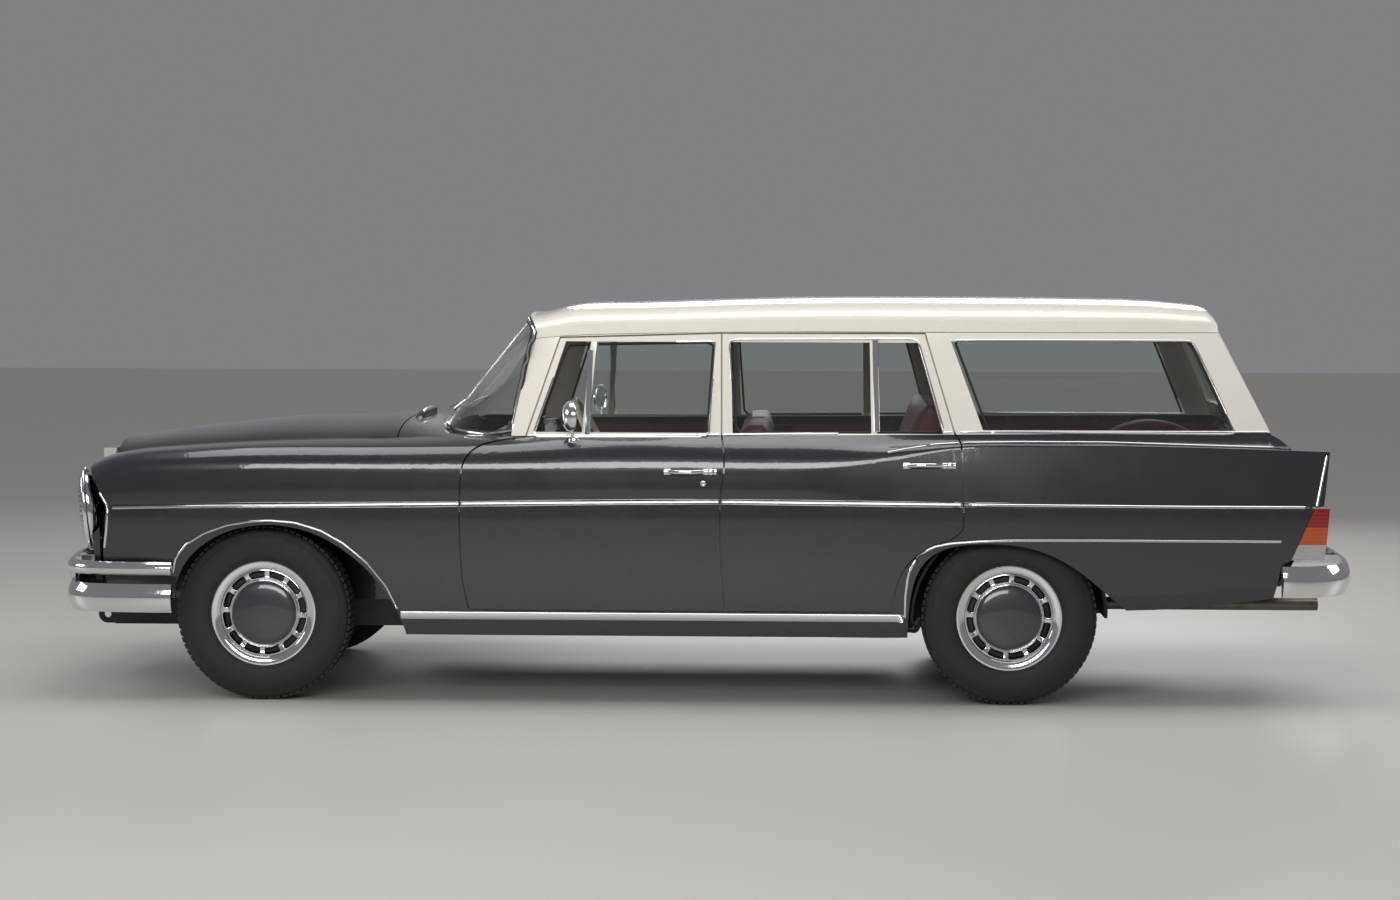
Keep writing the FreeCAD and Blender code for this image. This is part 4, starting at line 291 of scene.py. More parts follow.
def weave(name, dark, light, thread_mm, depth_mm):
    """Woven cloth: two crossing rows of waves, one for each set of threads, each thread as wide as given."""
    material, tree, shader = finish(name, IOR=1.45, Sheen_Weight=0.25, Sheen_Roughness=0.5)
    place = uneven(tree, shader, 90, (0.8, 0.95), 0.0, (dark, light))
    height = add(tree, "ShaderNodeMath", operation="MULTIPLY")
    for direction, socket in zip(("X", "Z"), height.inputs):
        wave = add(tree, "ShaderNodeTexWave", [("Vector", place)], bands_direction=direction,
                   Scale=wave_scale(thread_mm), Distortion=0.6)
        tree.links.new(wave.outputs["Fac"], socket)
    bump = add(tree, "ShaderNodeBump", [("Height", height.outputs["Value"])], Distance=depth_mm / 1000,
               Strength=0.8)
    tree.links.new(bump.outputs["Normal"], shader.inputs["Normal"])
    return material


RED_CLOTH = weave("red_vinyl_cloth", "#4d1114", "#651a1c", 4.0, 0.5)
CARPET = weave("wool_loop_carpet", "#3b1214", "#521a1b", 7.0, 1.5)
WOOD = surface("varnished_walnut", "#3a1d0f", 8, (0.3, 0.42), 0.02, ("#3a1d0f", "#6e3d1f"), (1, 0.08, 1),
               Coat_Weight=0.8, Coat_Roughness=0.08)
IVORY = surface("moulded_ivory_bakelite", "#d8ccb0", 50, (0.2, 0.3), 0.0, ("#d2c4a4", "#ddd2b9"),
                Coat_Weight=0.5)
print("trim finishes made: leather, two cloths, carpet, wood and ivory")

# %% [markdown]
# Lenses are moulded acrylic with fine ribs inside that spread the light. The tail lamp is one piece in
# three colours, red over amber over clear, so its material picks the colour from the height.

# %% Lamp lenses
LENS_BANDS = ((0.0, "#a9aaa8"), (0.30, "#b8480a"), (0.64, "#8c0b0b"))


def ribbed(name, rib_mm, depth_mm, **settings):
    """A moulding with level ribs of a width; returns the material, its tree, shader and places."""
    material, tree, shader = finish(name, **settings)
    place = uneven(tree, shader, 30, (0.05, 0.1))
    wave = add(tree, "ShaderNodeTexWave", [("Vector", place)], bands_direction="Z", Scale=wave_scale(rib_mm))
    bump = add(tree, "ShaderNodeBump", [("Height", wave.outputs["Fac"])], Distance=depth_mm / 1000)
    tree.links.new(bump.outputs["Normal"], shader.inputs["Normal"])
    return material, tree, shader, place


TAIL_LENS, tree, shader, place = ribbed("tail_lamp_acrylic", 7.0, 1.2, Coat_Weight=1.0, IOR=1.49,
                                        Subsurface_Weight=0.3, Subsurface_Radius=(0.02, 0.008, 0.004))
low, high = [corner.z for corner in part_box("tail_lamps")]
height = add(tree, "ShaderNodeSeparateXYZ", [("Vector", place)]).outputs["Z"]
share = add(tree, "ShaderNodeMapRange", [("Value", height)], From_Min=low, From_Max=high).outputs["Result"]
ramp = add(tree, "ShaderNodeValToRGB", [("Fac", share)])
ramp.color_ramp.interpolation = "CONSTANT"
ramp.color_ramp.elements.new(0.5)
for element, (start, colour) in zip(ramp.color_ramp.elements, LENS_BANDS):
    element.position = start
    element.color = linear(colour)
tree.links.new(ramp.outputs["Color"], shader.inputs["Base Color"])
LAMP_GLASS, *_ = ribbed("pressed_lamp_glass", 9.0, 0.5, Transmission_Weight=1.0, IOR=1.46)
print("tail lamp bands start at", [start for start, _ in LENS_BANDS])

# %% [markdown]
# The pressed panels already have their true shape, so they keep their mesh and only take a finish.

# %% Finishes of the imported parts
def both(*stems):
    """The names of the left and the right piece of each pair."""
    return tuple(stem + side for stem in stems for side, _ in SIDES)


PANEL_FINISHES = (
    (TWO_TONE, both("door_front_", "door_rear_", "side_frame_")),
    (SLATE_PAINT, both("wing_front_") + ("bonnet", "tailgate", "nose_panel", "tail_panel", "bulkhead",
                                         "bay_walls")),
    (CREAM_PAINT, ("roof_panel", "hatch")),
    (CHROME, ("front_bumper", "rear_bumper", "grille")),
    (GLASS, both("door_front_glass_", "door_rear_glass_") + ("windscreen", "quarter_windows", "hatch_glass")),
    (TAIL_LENS, ("tail_lamps",)),
    (IVORY, ("steering_wheel",)),
    (RED_LEATHER, ("load_trims",)),
    (IRON, both("knuckle_") + ("engine_block", "rear_axle")),
    (BLACK_METAL, ("front_subframe", "fuel_tank")),
    (UNDERSEAL, ("floor_pan",)),
    (PIPE_STEEL, ("exhaust",)),
    (WOOD, ("dashboard",)))
for material, names in PANEL_FINISHES:
    for name in names:
        NODES[name].data.materials.clear()
        NODES[name].data.materials.append(material)
print("finished", sum(len(names) for _, names in PANEL_FINISHES), "packed parts")

# %% [markdown]
# New pieces are made three ways. `skin` lays a mesh over a row of rings, which suits lamps, mirrors and
# anything turned on a lathe. The moulding tree follows a path: it sweeps an oval section along it, with
# the section's height turned to face away from the panel. The repeat tree sets copies of one small
# shape along a line or round an axle. Both trees end as plain meshes, one for each body.


# %% Meshes from rings
def piece(name, mesh, body, material=None):
    """A finished piece of the car, that rides on a body."""
    if material:
        mesh.materials.clear()
        mesh.materials.append(material)
    for polygon in mesh.polygons:
        polygon.use_smooth = True
    result = bpy.data.objects.new(name, mesh)
    SCENE.collection.objects.link(result)
    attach(result, body)
    return result


def skin(rings, ends=True, closed=False):
    """A mesh through rings of points, capped at both ends, or closed from the last ring to the first."""
    bm = bmesh.new()
    rows = [[bm.verts.new(p) for p in ring] for ring in rings]
    pairs = list(zip(rows, rows[1:])) + ([(rows[-1], rows[0])] if closed else [])
    for a, b in pairs:
        for i in range(len(a)):
            j = (i + 1) % len(a)
            bm.faces.new((a[i], a[j], b[j], b[i]))
    if ends and not closed:
        bm.faces.new(rows[0])
        bm.faces.new(rows[-1])
    bmesh.ops.remove_doubles(bm, verts=bm.verts, dist=1e-6)
    bmesh.ops.recalc_face_normals(bm, faces=bm.faces)
    mesh = bpy.data.meshes.new("skin")
    bm.to_mesh(mesh)
    bm.free()
    return mesh


def angles(steps):
    """Even steps round a full turn."""
    return [2 * math.pi * i / steps for i in range(steps)]


def circle(centre, sign, out, radius, steps=96):
    """Points round an axle that points across the car, at a distance outwards and a radius in mm."""
    return [centre + Vector((radius * math.sin(a), sign * out, -radius * math.cos(a))) / 1000
            for a in angles(steps)]


def lathe(profile, centre, sign, steps=96, **settings):
    """A profile of (distance outwards, radius) in mm, turned round an axle that points across the car."""
    return skin([circle(centre, sign, out, radius, steps) for out, radius in profile], **settings)


def soften(thing, width_mm, segments=2, angle=40):
    """Rounds the sharp edges of a piece and shades it by angle."""
    bevel = thing.modifiers.new("soft edge", "BEVEL")
    bevel.width = width_mm / 1000
    bevel.segments = segments
    bevel.angle_limit = math.radians(angle)
    bevel.harden_normals = True
    return thing


def slab(low, high):
    """A box between two corners, as a mesh."""
    (x0, y0, z0), (x1, y1, z1) = low, high
    ring = ((y0, z0), (y1, z0), (y1, z1), (y0, z1))
    return skin([[Vector((x, y, z)) for y, z in ring] for x in (x0, x1)])


# %% Geometry Nodes trees
def new_tree(name, sockets):
    """A Geometry Nodes tree with a geometry in, a geometry out, and named sizes."""
    tree = bpy.data.node_groups.new(name, "GeometryNodeTree")
    tree.interface.new_socket("Geometry", in_out="INPUT", socket_type="NodeSocketGeometry")
    for label, kind in sockets + (("Material", "Material"),):
        tree.interface.new_socket(label, in_out="INPUT", socket_type="NodeSocket" + kind)
    tree.interface.new_socket("Geometry", in_out="OUTPUT", socket_type="NodeSocketGeometry")
    return tree, add(tree, "NodeGroupInput").outputs


def end_tree(tree, inputs, geometry, smooth):
    """Realizes what a tree made, shades it, gives it its material and passes it out."""
    real = add(tree, "GeometryNodeRealizeInstances", [("Geometry", geometry)]).outputs[0]
    shaded = add(tree, "GeometryNodeSetShadeSmooth", [("Geometry", real)], Shade_Smooth=smooth).outputs[0]
    done = add(tree, "GeometryNodeSetMaterial", [("Geometry", shaded), ("Material", inputs["Material"])])
    add(tree, "NodeGroupOutput", [("Geometry", done.outputs[0])])


def as_built(thing):
    """The mesh of an object with its modifiers at work."""
    bpy.context.view_layer.update()
    return bpy.data.meshes.new_from_object(thing.evaluated_get(bpy.context.evaluated_depsgraph_get()))


def grow(name, mesh, tree, body, material, **sizes):
    """Runs a tree on a mesh and keeps the result as a plain piece."""
    source = bpy.data.objects.new(name + "_source", mesh)
    SCENE.collection.objects.link(source)
    modifier = source.modifiers.new("tree", "NODES")
    modifier.node_group = tree
    sockets = {item.name: item.identifier for item in tree.interface.items_tree if item.in_out == "INPUT"}
    for key, value in sizes.items():
        modifier[sockets[key]] = value
    modifier[sockets["Material"]] = material
    result = as_built(source)
    bpy.data.objects.remove(source)
    thing = bpy.data.objects.new(name, result)
    SCENE.collection.objects.link(thing)
    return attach(thing, body)


MOULDING, inputs = new_tree("moulding", (("Width", "Float"), ("Height", "Float")))
path = add(MOULDING, "GeometryNodeMeshToCurve", [("Mesh", inputs["Geometry"])]).outputs[0]
facing = add(MOULDING, "GeometryNodeInputNamedAttribute", data_type="FLOAT_VECTOR", Name="facing")
path = add(MOULDING, "GeometryNodeSetCurveNormal", [("Curve", path), ("Normal", facing.outputs["Attribute"])],
           mode="FREE").outputs[0]
section = add(MOULDING, "GeometryNodeCurvePrimitiveCircle", Resolution=14).outputs["Curve"]
size = add(MOULDING, "ShaderNodeCombineXYZ", [("X", inputs["Height"]), ("Y", inputs["Width"])]).outputs[0]
section = add(MOULDING, "GeometryNodeTransform", [("Geometry", section), ("Scale", size)]).outputs[0]
swept = add(MOULDING, "GeometryNodeCurveToMesh", [("Curve", path), ("Profile Curve", section)],
            Fill_Caps=True)
end_tree(MOULDING, inputs, swept.outputs[0], True)

REPEAT, inputs = new_tree("repeat", (("Count", "Int"), ("Step", "Vector"), ("Turn", "Vector"),
                                     ("Centre", "Vector")))
index = add(REPEAT, "GeometryNodeInputIndex").outputs[0]
moves = []
for socket in ("Step", "Turn"):
    moves.append(add(REPEAT, "ShaderNodeVectorMath", [("Vector", inputs[socket]), ("Scale", index)],
                     operation="SCALE").outputs["Vector"])
spots = add(REPEAT, "GeometryNodePoints", [("Count", inputs["Count"]), ("Position", moves[0])]).outputs[0]
copies = add(REPEAT, "GeometryNodeInstanceOnPoints", [("Points", spots), ("Instance", inputs["Geometry"]),
                                                      ("Rotation", moves[1])]).outputs[0]
placed = add(REPEAT, "GeometryNodeTransform", [("Geometry", copies), ("Translation", inputs["Centre"])])
end_tree(REPEAT, inputs, placed.outputs[0], False)
print("trees:", MOULDING.name, "and", REPEAT.name)


# %% [markdown]
# A strip on a real panel is pushed against it and follows every curve. A ray from beside the car finds
# the panel's surface and the way it faces, so a path of such places lies on the metal. Where one panel
# ends and the next begins, a new piece starts, which then moves with its own door or wing.

# %% Paths on the panels
BESIDE = 1200            # mm from the middle of the car, outside every panel
RAY_STEP = 4.0           # mm between two rays
RAYS_PER_POINT = 6
EDGE_ON = 0.15           # a panel that faces less outwards than this is seen edge-on
JUMP = 0.03              # metres between two hits that lie on separate parts of a panel


def touch(panels, origin, direction):
    """The first panel that a ray meets: its name, the place, and the way the panel faces there."""
    best = None
    for name in panels:
        found, place, facing, _ = NODES[name].ray_cast(origin, direction)
        if found and (best is None or (place - origin).length < (best[1] - origin).length):
            best = (name, place, facing if facing.dot(direction) < 0 else -facing)
    return best


def moulding(name, rows, width_mm, height_mm, material, body, closed=False):
    """An oval bar along rows of (place, facing); half of its height is sunk into the panel."""
    mesh = bpy.data.meshes.new(name)
    edges = [(i, i + 1) for i in range(len(rows) - 1)] + ([(len(rows) - 1, 0)] if closed else [])
    mesh.from_pydata([place for place, _ in rows], edges, [])
    facings = mesh.attributes.new("facing", "FLOAT_VECTOR", "POINT")
    facings.data.foreach_set("vector", [c for _, facing in rows for c in facing])
    return grow(name, mesh, MOULDING, body, material, Width=width_mm / 2000, Height=height_mm / 1000)


def touch_side(panels, sign, aft, up):
    """The first panel that a level ray from beside the car meets."""
    return touch(panels, at(aft, BESIDE * sign, up), Vector((0, -sign, 0)))


def strip(name, side, points, width_mm, height_mm, panels=None, material=CHROME):
    """A strip along points of (mm behind the front axle, mm up), one piece on each panel it crosses."""
    sign = dict(SIDES)[side]
    panels = panels or [stem + side for stem in ("wing_front_", "door_front_", "door_rear_", "side_frame_")]
    runs = []
    for spot in spaced([(x, 0, z) for x, z in points], RAY_STEP):
        hit = touch_side(panels, sign, spot.x, spot.z)
        if hit and abs(hit[2].y) > EDGE_ON:
            if not runs or runs[-1][0] != hit[0] or (runs[-1][1][-1][0] - hit[1]).length > JUMP:
                runs.append((hit[0], []))
            runs[-1][1].append(hit[1:])
        else:
            runs.append((None, []))
    count = 0
    for panel, rows in runs:
        if len(rows) > RAYS_PER_POINT:
            kept = rows[1:-1:RAYS_PER_POINT] + [rows[-2]]
            body = NODES[panel]["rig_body"]
            moulding("%s_%s_%s_%d" % (name, body, side, count), kept, width_mm, height_mm, material, body)
            count += 1
    return count


print("helpers ready: skin, lathe, moulding and strip")

# %% [markdown]
# Bright strips run the length of each side: along the pressed rib below the door handles, along the
# belt where the two colours meet, round the wheel arches, along the sill, and along the top of the
# small fin. On the real car each is a thin rolled moulding held by clips. Here rays from beside the car
# find each panel's surface, so that every strip lies on its panel and stops at the shut lines.

# %% Bright strips on the sides
RIB_LINE = ((-556, 712), (-200, 722), (412, 732), (900, 740), (1650, 749.5), (2613, 743.5), (3400, 739),
            (3820, 738.5))
BELT_STRIP = [(x * 1000, z * 1000 + 2) for x, z in BELT_LINE]
SILL_LINE = ((506, 322), (2366, 322))
FRONT_ARCH_LINE = ((-332, 470), (-318, 530), (-276, 580), (-208, 622), (-124, 652), (-36, 667), (34, 671),
                   (128, 664), (222, 636), (308, 588), (394, 517), (462, 432), (514, 322))
SPEAR_LINE = ((2367, 322), (2367, 402), (2377, 489), (2408, 553), (2465, 588), (2532, 602), (2640, 610),
              (2760, 614), (3100, 615), (3500, 614), (3734, 613))
FIN_LINE = ((2296, 931), (2380, 946), (2475, 960), (2598, 966), (2800, 969), (3091, 969), (3519, 957),
            (3841, 950), (3900, 946))
TAIL_EDGE = ((3899, 930), (3856, 725), (3778, 541))
SIDE_STRIPS = (("rib_strip", RIB_LINE, 13, 5), ("belt_strip", BELT_STRIP, 9, 5),
               ("sill_strip", SILL_LINE, 34, 5), ("front_arch_strip", FRONT_ARCH_LINE, 9, 5),
               ("rear_spear", SPEAR_LINE, 10, 5), ("fin_strip", FIN_LINE, 9, 4),
               ("tail_edge_strip", TAIL_EDGE, 12, 5))
made = 0
for side, _ in SIDES:
    for name, line, width_mm, height_mm in SIDE_STRIPS:
        made += strip(name, side, line, width_mm, height_mm)
print("strips made:", made)

# %% [markdown]
# The wheels: a bias-ply tyre with an upright shoulder and a ribbed tread, on a steel wheel that wears a
# bright cover and a painted cap. The tyre is turned from its section. Its tread blocks repeat round the
# axle, so the repeat tree makes them.

# %% Tyres
TYRE_SECTION = ((69, 179), (76, 190), (84, 203), (88, 206), (90.5, 222), (91.5, 240), (91, 258), (89, 274),
                (87.5, 277), (87, 283), (84.5, 286), (82, 296), (77, 306), (71, 312), (64, 315.2))
GROOVES = (46, 23, 0, -23, -46)
GROOVE_HALF = 3.2
TREAD_R, GROOVE_R = 316.0, 308.0
BLOCKS = 76
BLOCK_ROWS = (57.5, 34.5, 11.5, -11.5, -34.5, -57.5)
BLOCK_RINGS = ((TREAD_R - 3, 9.5), (320.4, 9.0), (321.4, 8.4))      # radius and half length
BLOCK_HALF_WIDTH, BLOCK_LEAN = 8, 0.35


def tyre_section():
    """The tyre's outer section from one bead to the other, with ribs and grooves in the tread."""
    tread = []
    for middle in GROOVES:
        tread += [(middle + GROOVE_HALF + 1, TREAD_R), (middle + GROOVE_HALF, GROOVE_R),
                  (middle - GROOVE_HALF, GROOVE_R), (middle - GROOVE_HALF - 1, TREAD_R)]
    return list(TYRE_SECTION) + tread + [(-out, radius) for out, radius in TYRE_SECTION[::-1]]


def tread_block(out, lean):
    """One raised block of the tread, at the top of a wheel, leaning to one side."""
    rings = []
    w = BLOCK_HALF_WIDTH
    for radius, half in BLOCK_RINGS:
        rings.append([Vector((x + lean * y, out + y, radius)) / 1000
                      for x, y in ((-half, -w), (half, -w), (half, w), (-half, w))])
    return skin(rings)


WHEELS = [(end + "_" + side, Vector((AXLES[end].x, sign * abs(AXLES[end].y), AXLES[end].z)), sign)
          for end in AXLES for side, sign in SIDES]
for corner, centre, sign in WHEELS:
    body = "wheel_" + corner
    tyre = piece("tyre_" + body, lathe(tyre_section(), centre, sign, closed=True), body, TYRE)
    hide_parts("tyre_" + corner)
    for row, out in enumerate(BLOCK_ROWS):
        grow("tread_row_%d_%s" % (row, body), tread_block(out, BLOCK_LEAN * (-1) ** row), REPEAT, body, TYRE,
             Count=BLOCKS, Turn=(0, 2 * math.pi / BLOCKS, 0), Centre=centre)
print("tyres with", BLOCKS * len(BLOCK_ROWS), "tread blocks each")

# %% [markdown]
# Each wheel is a black steel rim and disc under a bright cover, pressed from thin sheet with twelve slots
# that cool the brakes, and a painted cap in the middle with a thin bright ring. All are turned from their
# sections in mm: how far out from the wheel's middle, and at what radius.

# %% Wheel discs, trim rings and caps
SLOTS = 12
SLOT_RADII = (134.0, 155.0)
SLOT_SHARE = 0.70
SHEET = 0.0025
COVER = ((58, 60), (62, 100), (60, 116), (58, 125), (51, 130), (48, 134), (50, 145), (53, 155), (58, 158),
         (66, 164), (72, 170), (75, 182), (76.5, 192), (74, 199), (69, 200))
CAP = ((58, 121), (63, 119), (69, 110), (73.5, 90), (76.5, 62), (78, 30), (78, 0), (64, 0))
BARREL = ((-70, 176), (-66, 184), (-60, 176), (-20, 160), (20, 160), (60, 176), (66, 184), (74, 198),
          (72, 199), (62, 178), (20, 155), (-20, 155), (-62, 170))
DISC = ((30, 0), (30, 70), (24, 100), (38, 150), (34, 158), (18, 104), (24, 72), (24, 0))
CAP_RING = (60, 123)
STEPS_PER_SLOT = 12


def slotted_cover(centre, sign):
    """The bright cover, as a thin sheet of rings, with its slots left open."""
    steps = SLOTS * STEPS_PER_SLOT
    bm = bmesh.new()
    rows = [[bm.verts.new(point) for point in circle(centre, sign, out, radius, steps)]
            for out, radius in COVER]
    for a, b, (_, near), (_, far) in zip(rows, rows[1:], COVER, COVER[1:]):
        slotted = near >= SLOT_RADII[0] and far <= SLOT_RADII[1]
        for i in range(steps):
            if not slotted or i % STEPS_PER_SLOT >= SLOT_SHARE * STEPS_PER_SLOT:
                j = (i + 1) % steps
                corners = (a[i], a[j], b[j], b[i])
                bm.faces.new(corners if sign < 0 else corners[::-1])
    mesh = bpy.data.meshes.new("wheel_cover")
    bm.to_mesh(mesh)
    bm.free()
    return mesh


CAP_PAINT = surface("slate_cap_enamel", "#2a3136", 90, (0.24, 0.34), Coat_Weight=1.0, Coat_Roughness=0.03)
for corner, centre, sign in WHEELS:
    body = "wheel_" + corner
    cover = piece("trim_ring_" + body, slotted_cover(centre, sign), body, CHROME)
    wall = cover.modifiers.new("sheet", "SOLIDIFY")
    wall.thickness, wall.offset = SHEET, -1
    smooth = cover.modifiers.new("smooth", "SUBSURF")
    smooth.levels = smooth.render_levels = 1
    piece("hub_cap_" + body, lathe(CAP, centre, sign, ends=False), body, CAP_PAINT)
    rim = piece("rim_" + body, lathe(BARREL, centre, sign, closed=True), body, BLACK_METAL)
    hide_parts("rim_" + corner)
    piece("wheel_disc_" + body, lathe(DISC, centre, sign, ends=False), body, BLACK_METAL)
    ring = [(point, Vector((0, sign, 0))) for point in circle(centre, sign, *CAP_RING)]
    moulding("cap_ring_" + body, ring, 6, 4, CHROME, body, closed=True)
print("wheel covers with", SLOTS, "slots each")

# %% [markdown]
# The side windows sit in bright frames, a thin channel with rounded corners that holds the glass. Each
# path is drawn as its corners, and one helper rounds them. Upright bars part the vent in the front door
# and the fixed corner in the rear door, as the glass has to drop between straight edges.

# %% Window frames and bars
def rounded(corners, radius_mm, steps=5):
    """A closed path round corners, each one turned on a radius."""
    path = []
    for before, corner, after in zip(corners[-1:] + corners[:-1], corners, corners[1:] + corners[:1]):
        corner = Vector(corner)
        start = corner + (Vector(before) - corner).normalized() * radius_mm
        stop = corner + (Vector(after) - corner).normalized() * radius_mm
        for i in range(steps + 1):
            t = i / steps
            path.append(start.lerp(corner, t).lerp(corner.lerp(stop, t), t))
    return [tuple(p) for p in path + path[:2]]


WINDOWS = {"front_door_window": ((993, 979), (1107, 1320), (1665, 1331), (1645, 982)),
           "rear_door_window": ((1738, 992), (1716, 1338), (2413, 1343), (2509, 1000)),
           "quarter_window": ((2662, 1004), (2542, 1338), (3428, 1338), (3576, 999))}
PANES = {"front_door_window": "door_front_glass_{}", "rear_door_window": "door_rear_glass_{}",
         "quarter_window": "quarter_windows"}
BARS = {"vent_bar": ((1197, 984), (1199, 1322)), "rear_door_bar": ((2262, 1000), (2256, 1340))}
FRAME_RADIUS, FRAME_SIZE, BAR_SIZE = 22, (9, 5), (23, 6)
GASKET_RADIUS, GASKET_INSET, GASKET_SIZE = 18, 9, (9, 6)
made = 0
for side, _ in SIDES:
    for name, corners in WINDOWS.items():
        made += strip(name + "_frame", side, rounded(list(corners), FRAME_RADIUS), *FRAME_SIZE)
    for name, points in BARS.items():
        made += strip(name, side, points, *BAR_SIZE)
    for name, corners in WINDOWS.items():
        middle = sum([Vector(c) for c in corners], Vector((0, 0))) / len(corners)
        inner = [tuple(Vector(c) + (middle - Vector(c)).normalized() * GASKET_INSET) for c in corners]
        made += strip(name + "_gasket", side, rounded(inner, GASKET_RADIUS), *GASKET_SIZE,
                      [PANES[name].format(side)], RUBBER)
print("window frames, gaskets and bars, in", made, "pieces")

# %% [markdown]
# The panoramic windscreen has a bright strip all round, pressed into its rubber. The glass wraps round
# to the sides, so its edge is found by rays that run towards the middle of the cabin: each search moves
# from outside the glass until a ray meets it.


# %% Windscreen trim and wipers
SCREEN_MIDDLE = at(1500, 0, 0)
RAY_START = 1.6                       # metres from there, ahead of the glass
SCREEN_SPREAD = math.radians(46)      # the foot and the head reach this far either way
SPREAD_STEPS = 20
FOOT_SEARCH = (0.96, 0.002, 60)       # the first height tried, the step, and how many are tried
HEAD_SEARCH = (1.46, -0.002, 60)
SIDE_SEARCH = (85, -0.25, 180)        # the same for angles in degrees
SIDE_HEIGHTS = [1.0 + 0.026 * i for i in range(15)]


def inward_ray(angle, up):
    """A ray at a height, from outside the windscreen towards the cabin's middle."""
    out = Vector((-math.cos(angle), math.sin(angle), 0))
    return SCREEN_MIDDLE + out * RAY_START + Vector((0, 0, up)), -out


def tried(first, step, count):
    """The values that a search goes through."""
    return [first + step * i for i in range(count)]


def first_on_screen(turns, heights):
    """The place and facing where a ray first meets the windscreen, out of those at some turns and heights."""
    for turn in turns:
        for up in heights:
            hit = touch(["windscreen"], *inward_ray(turn, up))
            if hit:
                return hit[1:]
    return None


def screen_edge():
    """The windscreen's edge as a ring of (place, facing): along the foot, up, back along the head, down."""
    spread = [SCREEN_SPREAD * i / SPREAD_STEPS for i in range(-SPREAD_STEPS, SPREAD_STEPS + 1)]
    foot = [first_on_screen([turn], tried(*FOOT_SEARCH)) for turn in spread]
    head = [first_on_screen([turn], tried(*HEAD_SEARCH)) for turn in spread[::-1]]
    rises = []
    for sign in (1, -1):
        turns = [sign * math.radians(degrees) for degrees in tried(*SIDE_SEARCH)]
        rises.append([first_on_screen(turns, [up]) for up in SIDE_HEIGHTS])
    return [row for row in foot + rises[0] + head + rises[1][::-1] if row]


def thinned(rows, gap_mm):
    """Rows with those left out that stand closer together than a gap."""
    kept = rows[:1]
    for row in rows[1:]:
        if (row[0] - kept[-1][0]).length > gap_mm / 1000:
            kept.append(row)
    return kept


def lifted(rows, lift):
    """Rows of (place, facing) raised off their surface by a distance in metres."""
    return [(place + facing * lift, facing) for place, facing in rows]


RING = thinned(screen_edge(), 12)
moulding("windscreen_seal", RING, 26, 4, RUBBER, "body", closed=True)
moulding("windscreen_strip", lifted(RING, 0.003), 11, 4, CHROME, "body", closed=True)
WIPER_STEPS, WIPER_UP, WIPER_RISE = 12, 1.045, 0.03
BLADE_START, BLADE_LIFT = 2, 0.007
PIVOT_OFFSET, PIVOT_LEAN = Vector((0.03, 0, 0.045)), math.radians(115)
PIVOT_CAP = ((0, 0), (0, 13), (8, 13), (14, 9), (16, 0))
ARM_LIFT, ARM_BOW = 0.012, 0.02


def wiper(name, root_angle, tip_angle):
    """A bright arm and a black blade that lie low on the windscreen, from a pivot to a tip."""
    rows = []
    for share in shares(WIPER_STEPS):
        turn = math.radians(root_angle + (tip_angle - root_angle) * share)
        rows.append(first_on_screen([turn], [WIPER_UP + WIPER_RISE * share]))
    rows = [row for row in rows if row]
    blade = lifted(rows[BLADE_START:], BLADE_LIFT)
    moulding(name + "_blade", blade, 6, 6, RUBBER, "body")
    moulding(name + "_spine", lifted(blade, BLADE_LIFT), 7, 2, CHROME, "body")
    foot = rows[0][0] - PIVOT_OFFSET
    place, facing = blade[len(blade) // 2]
    arm = [(foot.lerp(place, share) + facing * (ARM_LIFT + ARM_BOW * math.sin(math.pi * share)), facing)
           for share in shares(10)]
    moulding(name + "_arm", arm, 9, 3, CHROME, "body")
    cap = lathe(PIVOT_CAP, Vector(), 1, 32)
    cap.transform(Matrix.Translation(foot) @ Matrix.Rotation(PIVOT_LEAN, 4, "X"))
    piece(name + "_pivot", cap, "body", CHROME)


wiper("left_wiper", -22, 4)
wiper("right_wiper", 6, 30)
print("windscreen trim of", len(RING), "points and two wipers")

# %% [markdown]
# Door handles of this time are bright straps on two feet, with a round push button behind the grip. The
# strap follows the door, lifted off it between its feet. A round mirror stands on a thin stem at the
# front of each front window.

# %% Door handles and mirrors
HANDLES = {"front": (1496, 1668, 858), "rear": (2368, 2539, 884)}      # from, to and height
LIFTS = (1, 8, 19, 25, 27, 28, 28, 27, 25, 19, 8, 1)
GRIP_SHORT = 34                       # how far the grip ends ahead of the handle's end
FEET = (("front", 0, -12, 7), ("back", 1, -40, 13))      # which end, start from it, and points
FOOT_STEP = 4
BUTTON = ((-4, 0), (-4, 13), (9, 13), (10, 11), (18, 10.5), (20, 8), (20.5, 0))
BUTTON_SHORT = 12
LOCK = ((-3, 0), (-3, 11), (2, 11), (3.5, 8), (3.5, 2), (1, 1.5), (1, 0))
LOCK_SHORT, LOCK_BELOW = 40, 42


def on_door(node, sign, aft, up):
    """The place and the facing of a door's skin at a place seen from beside the car."""
    return touch_side([node], sign, aft, up)[1:]


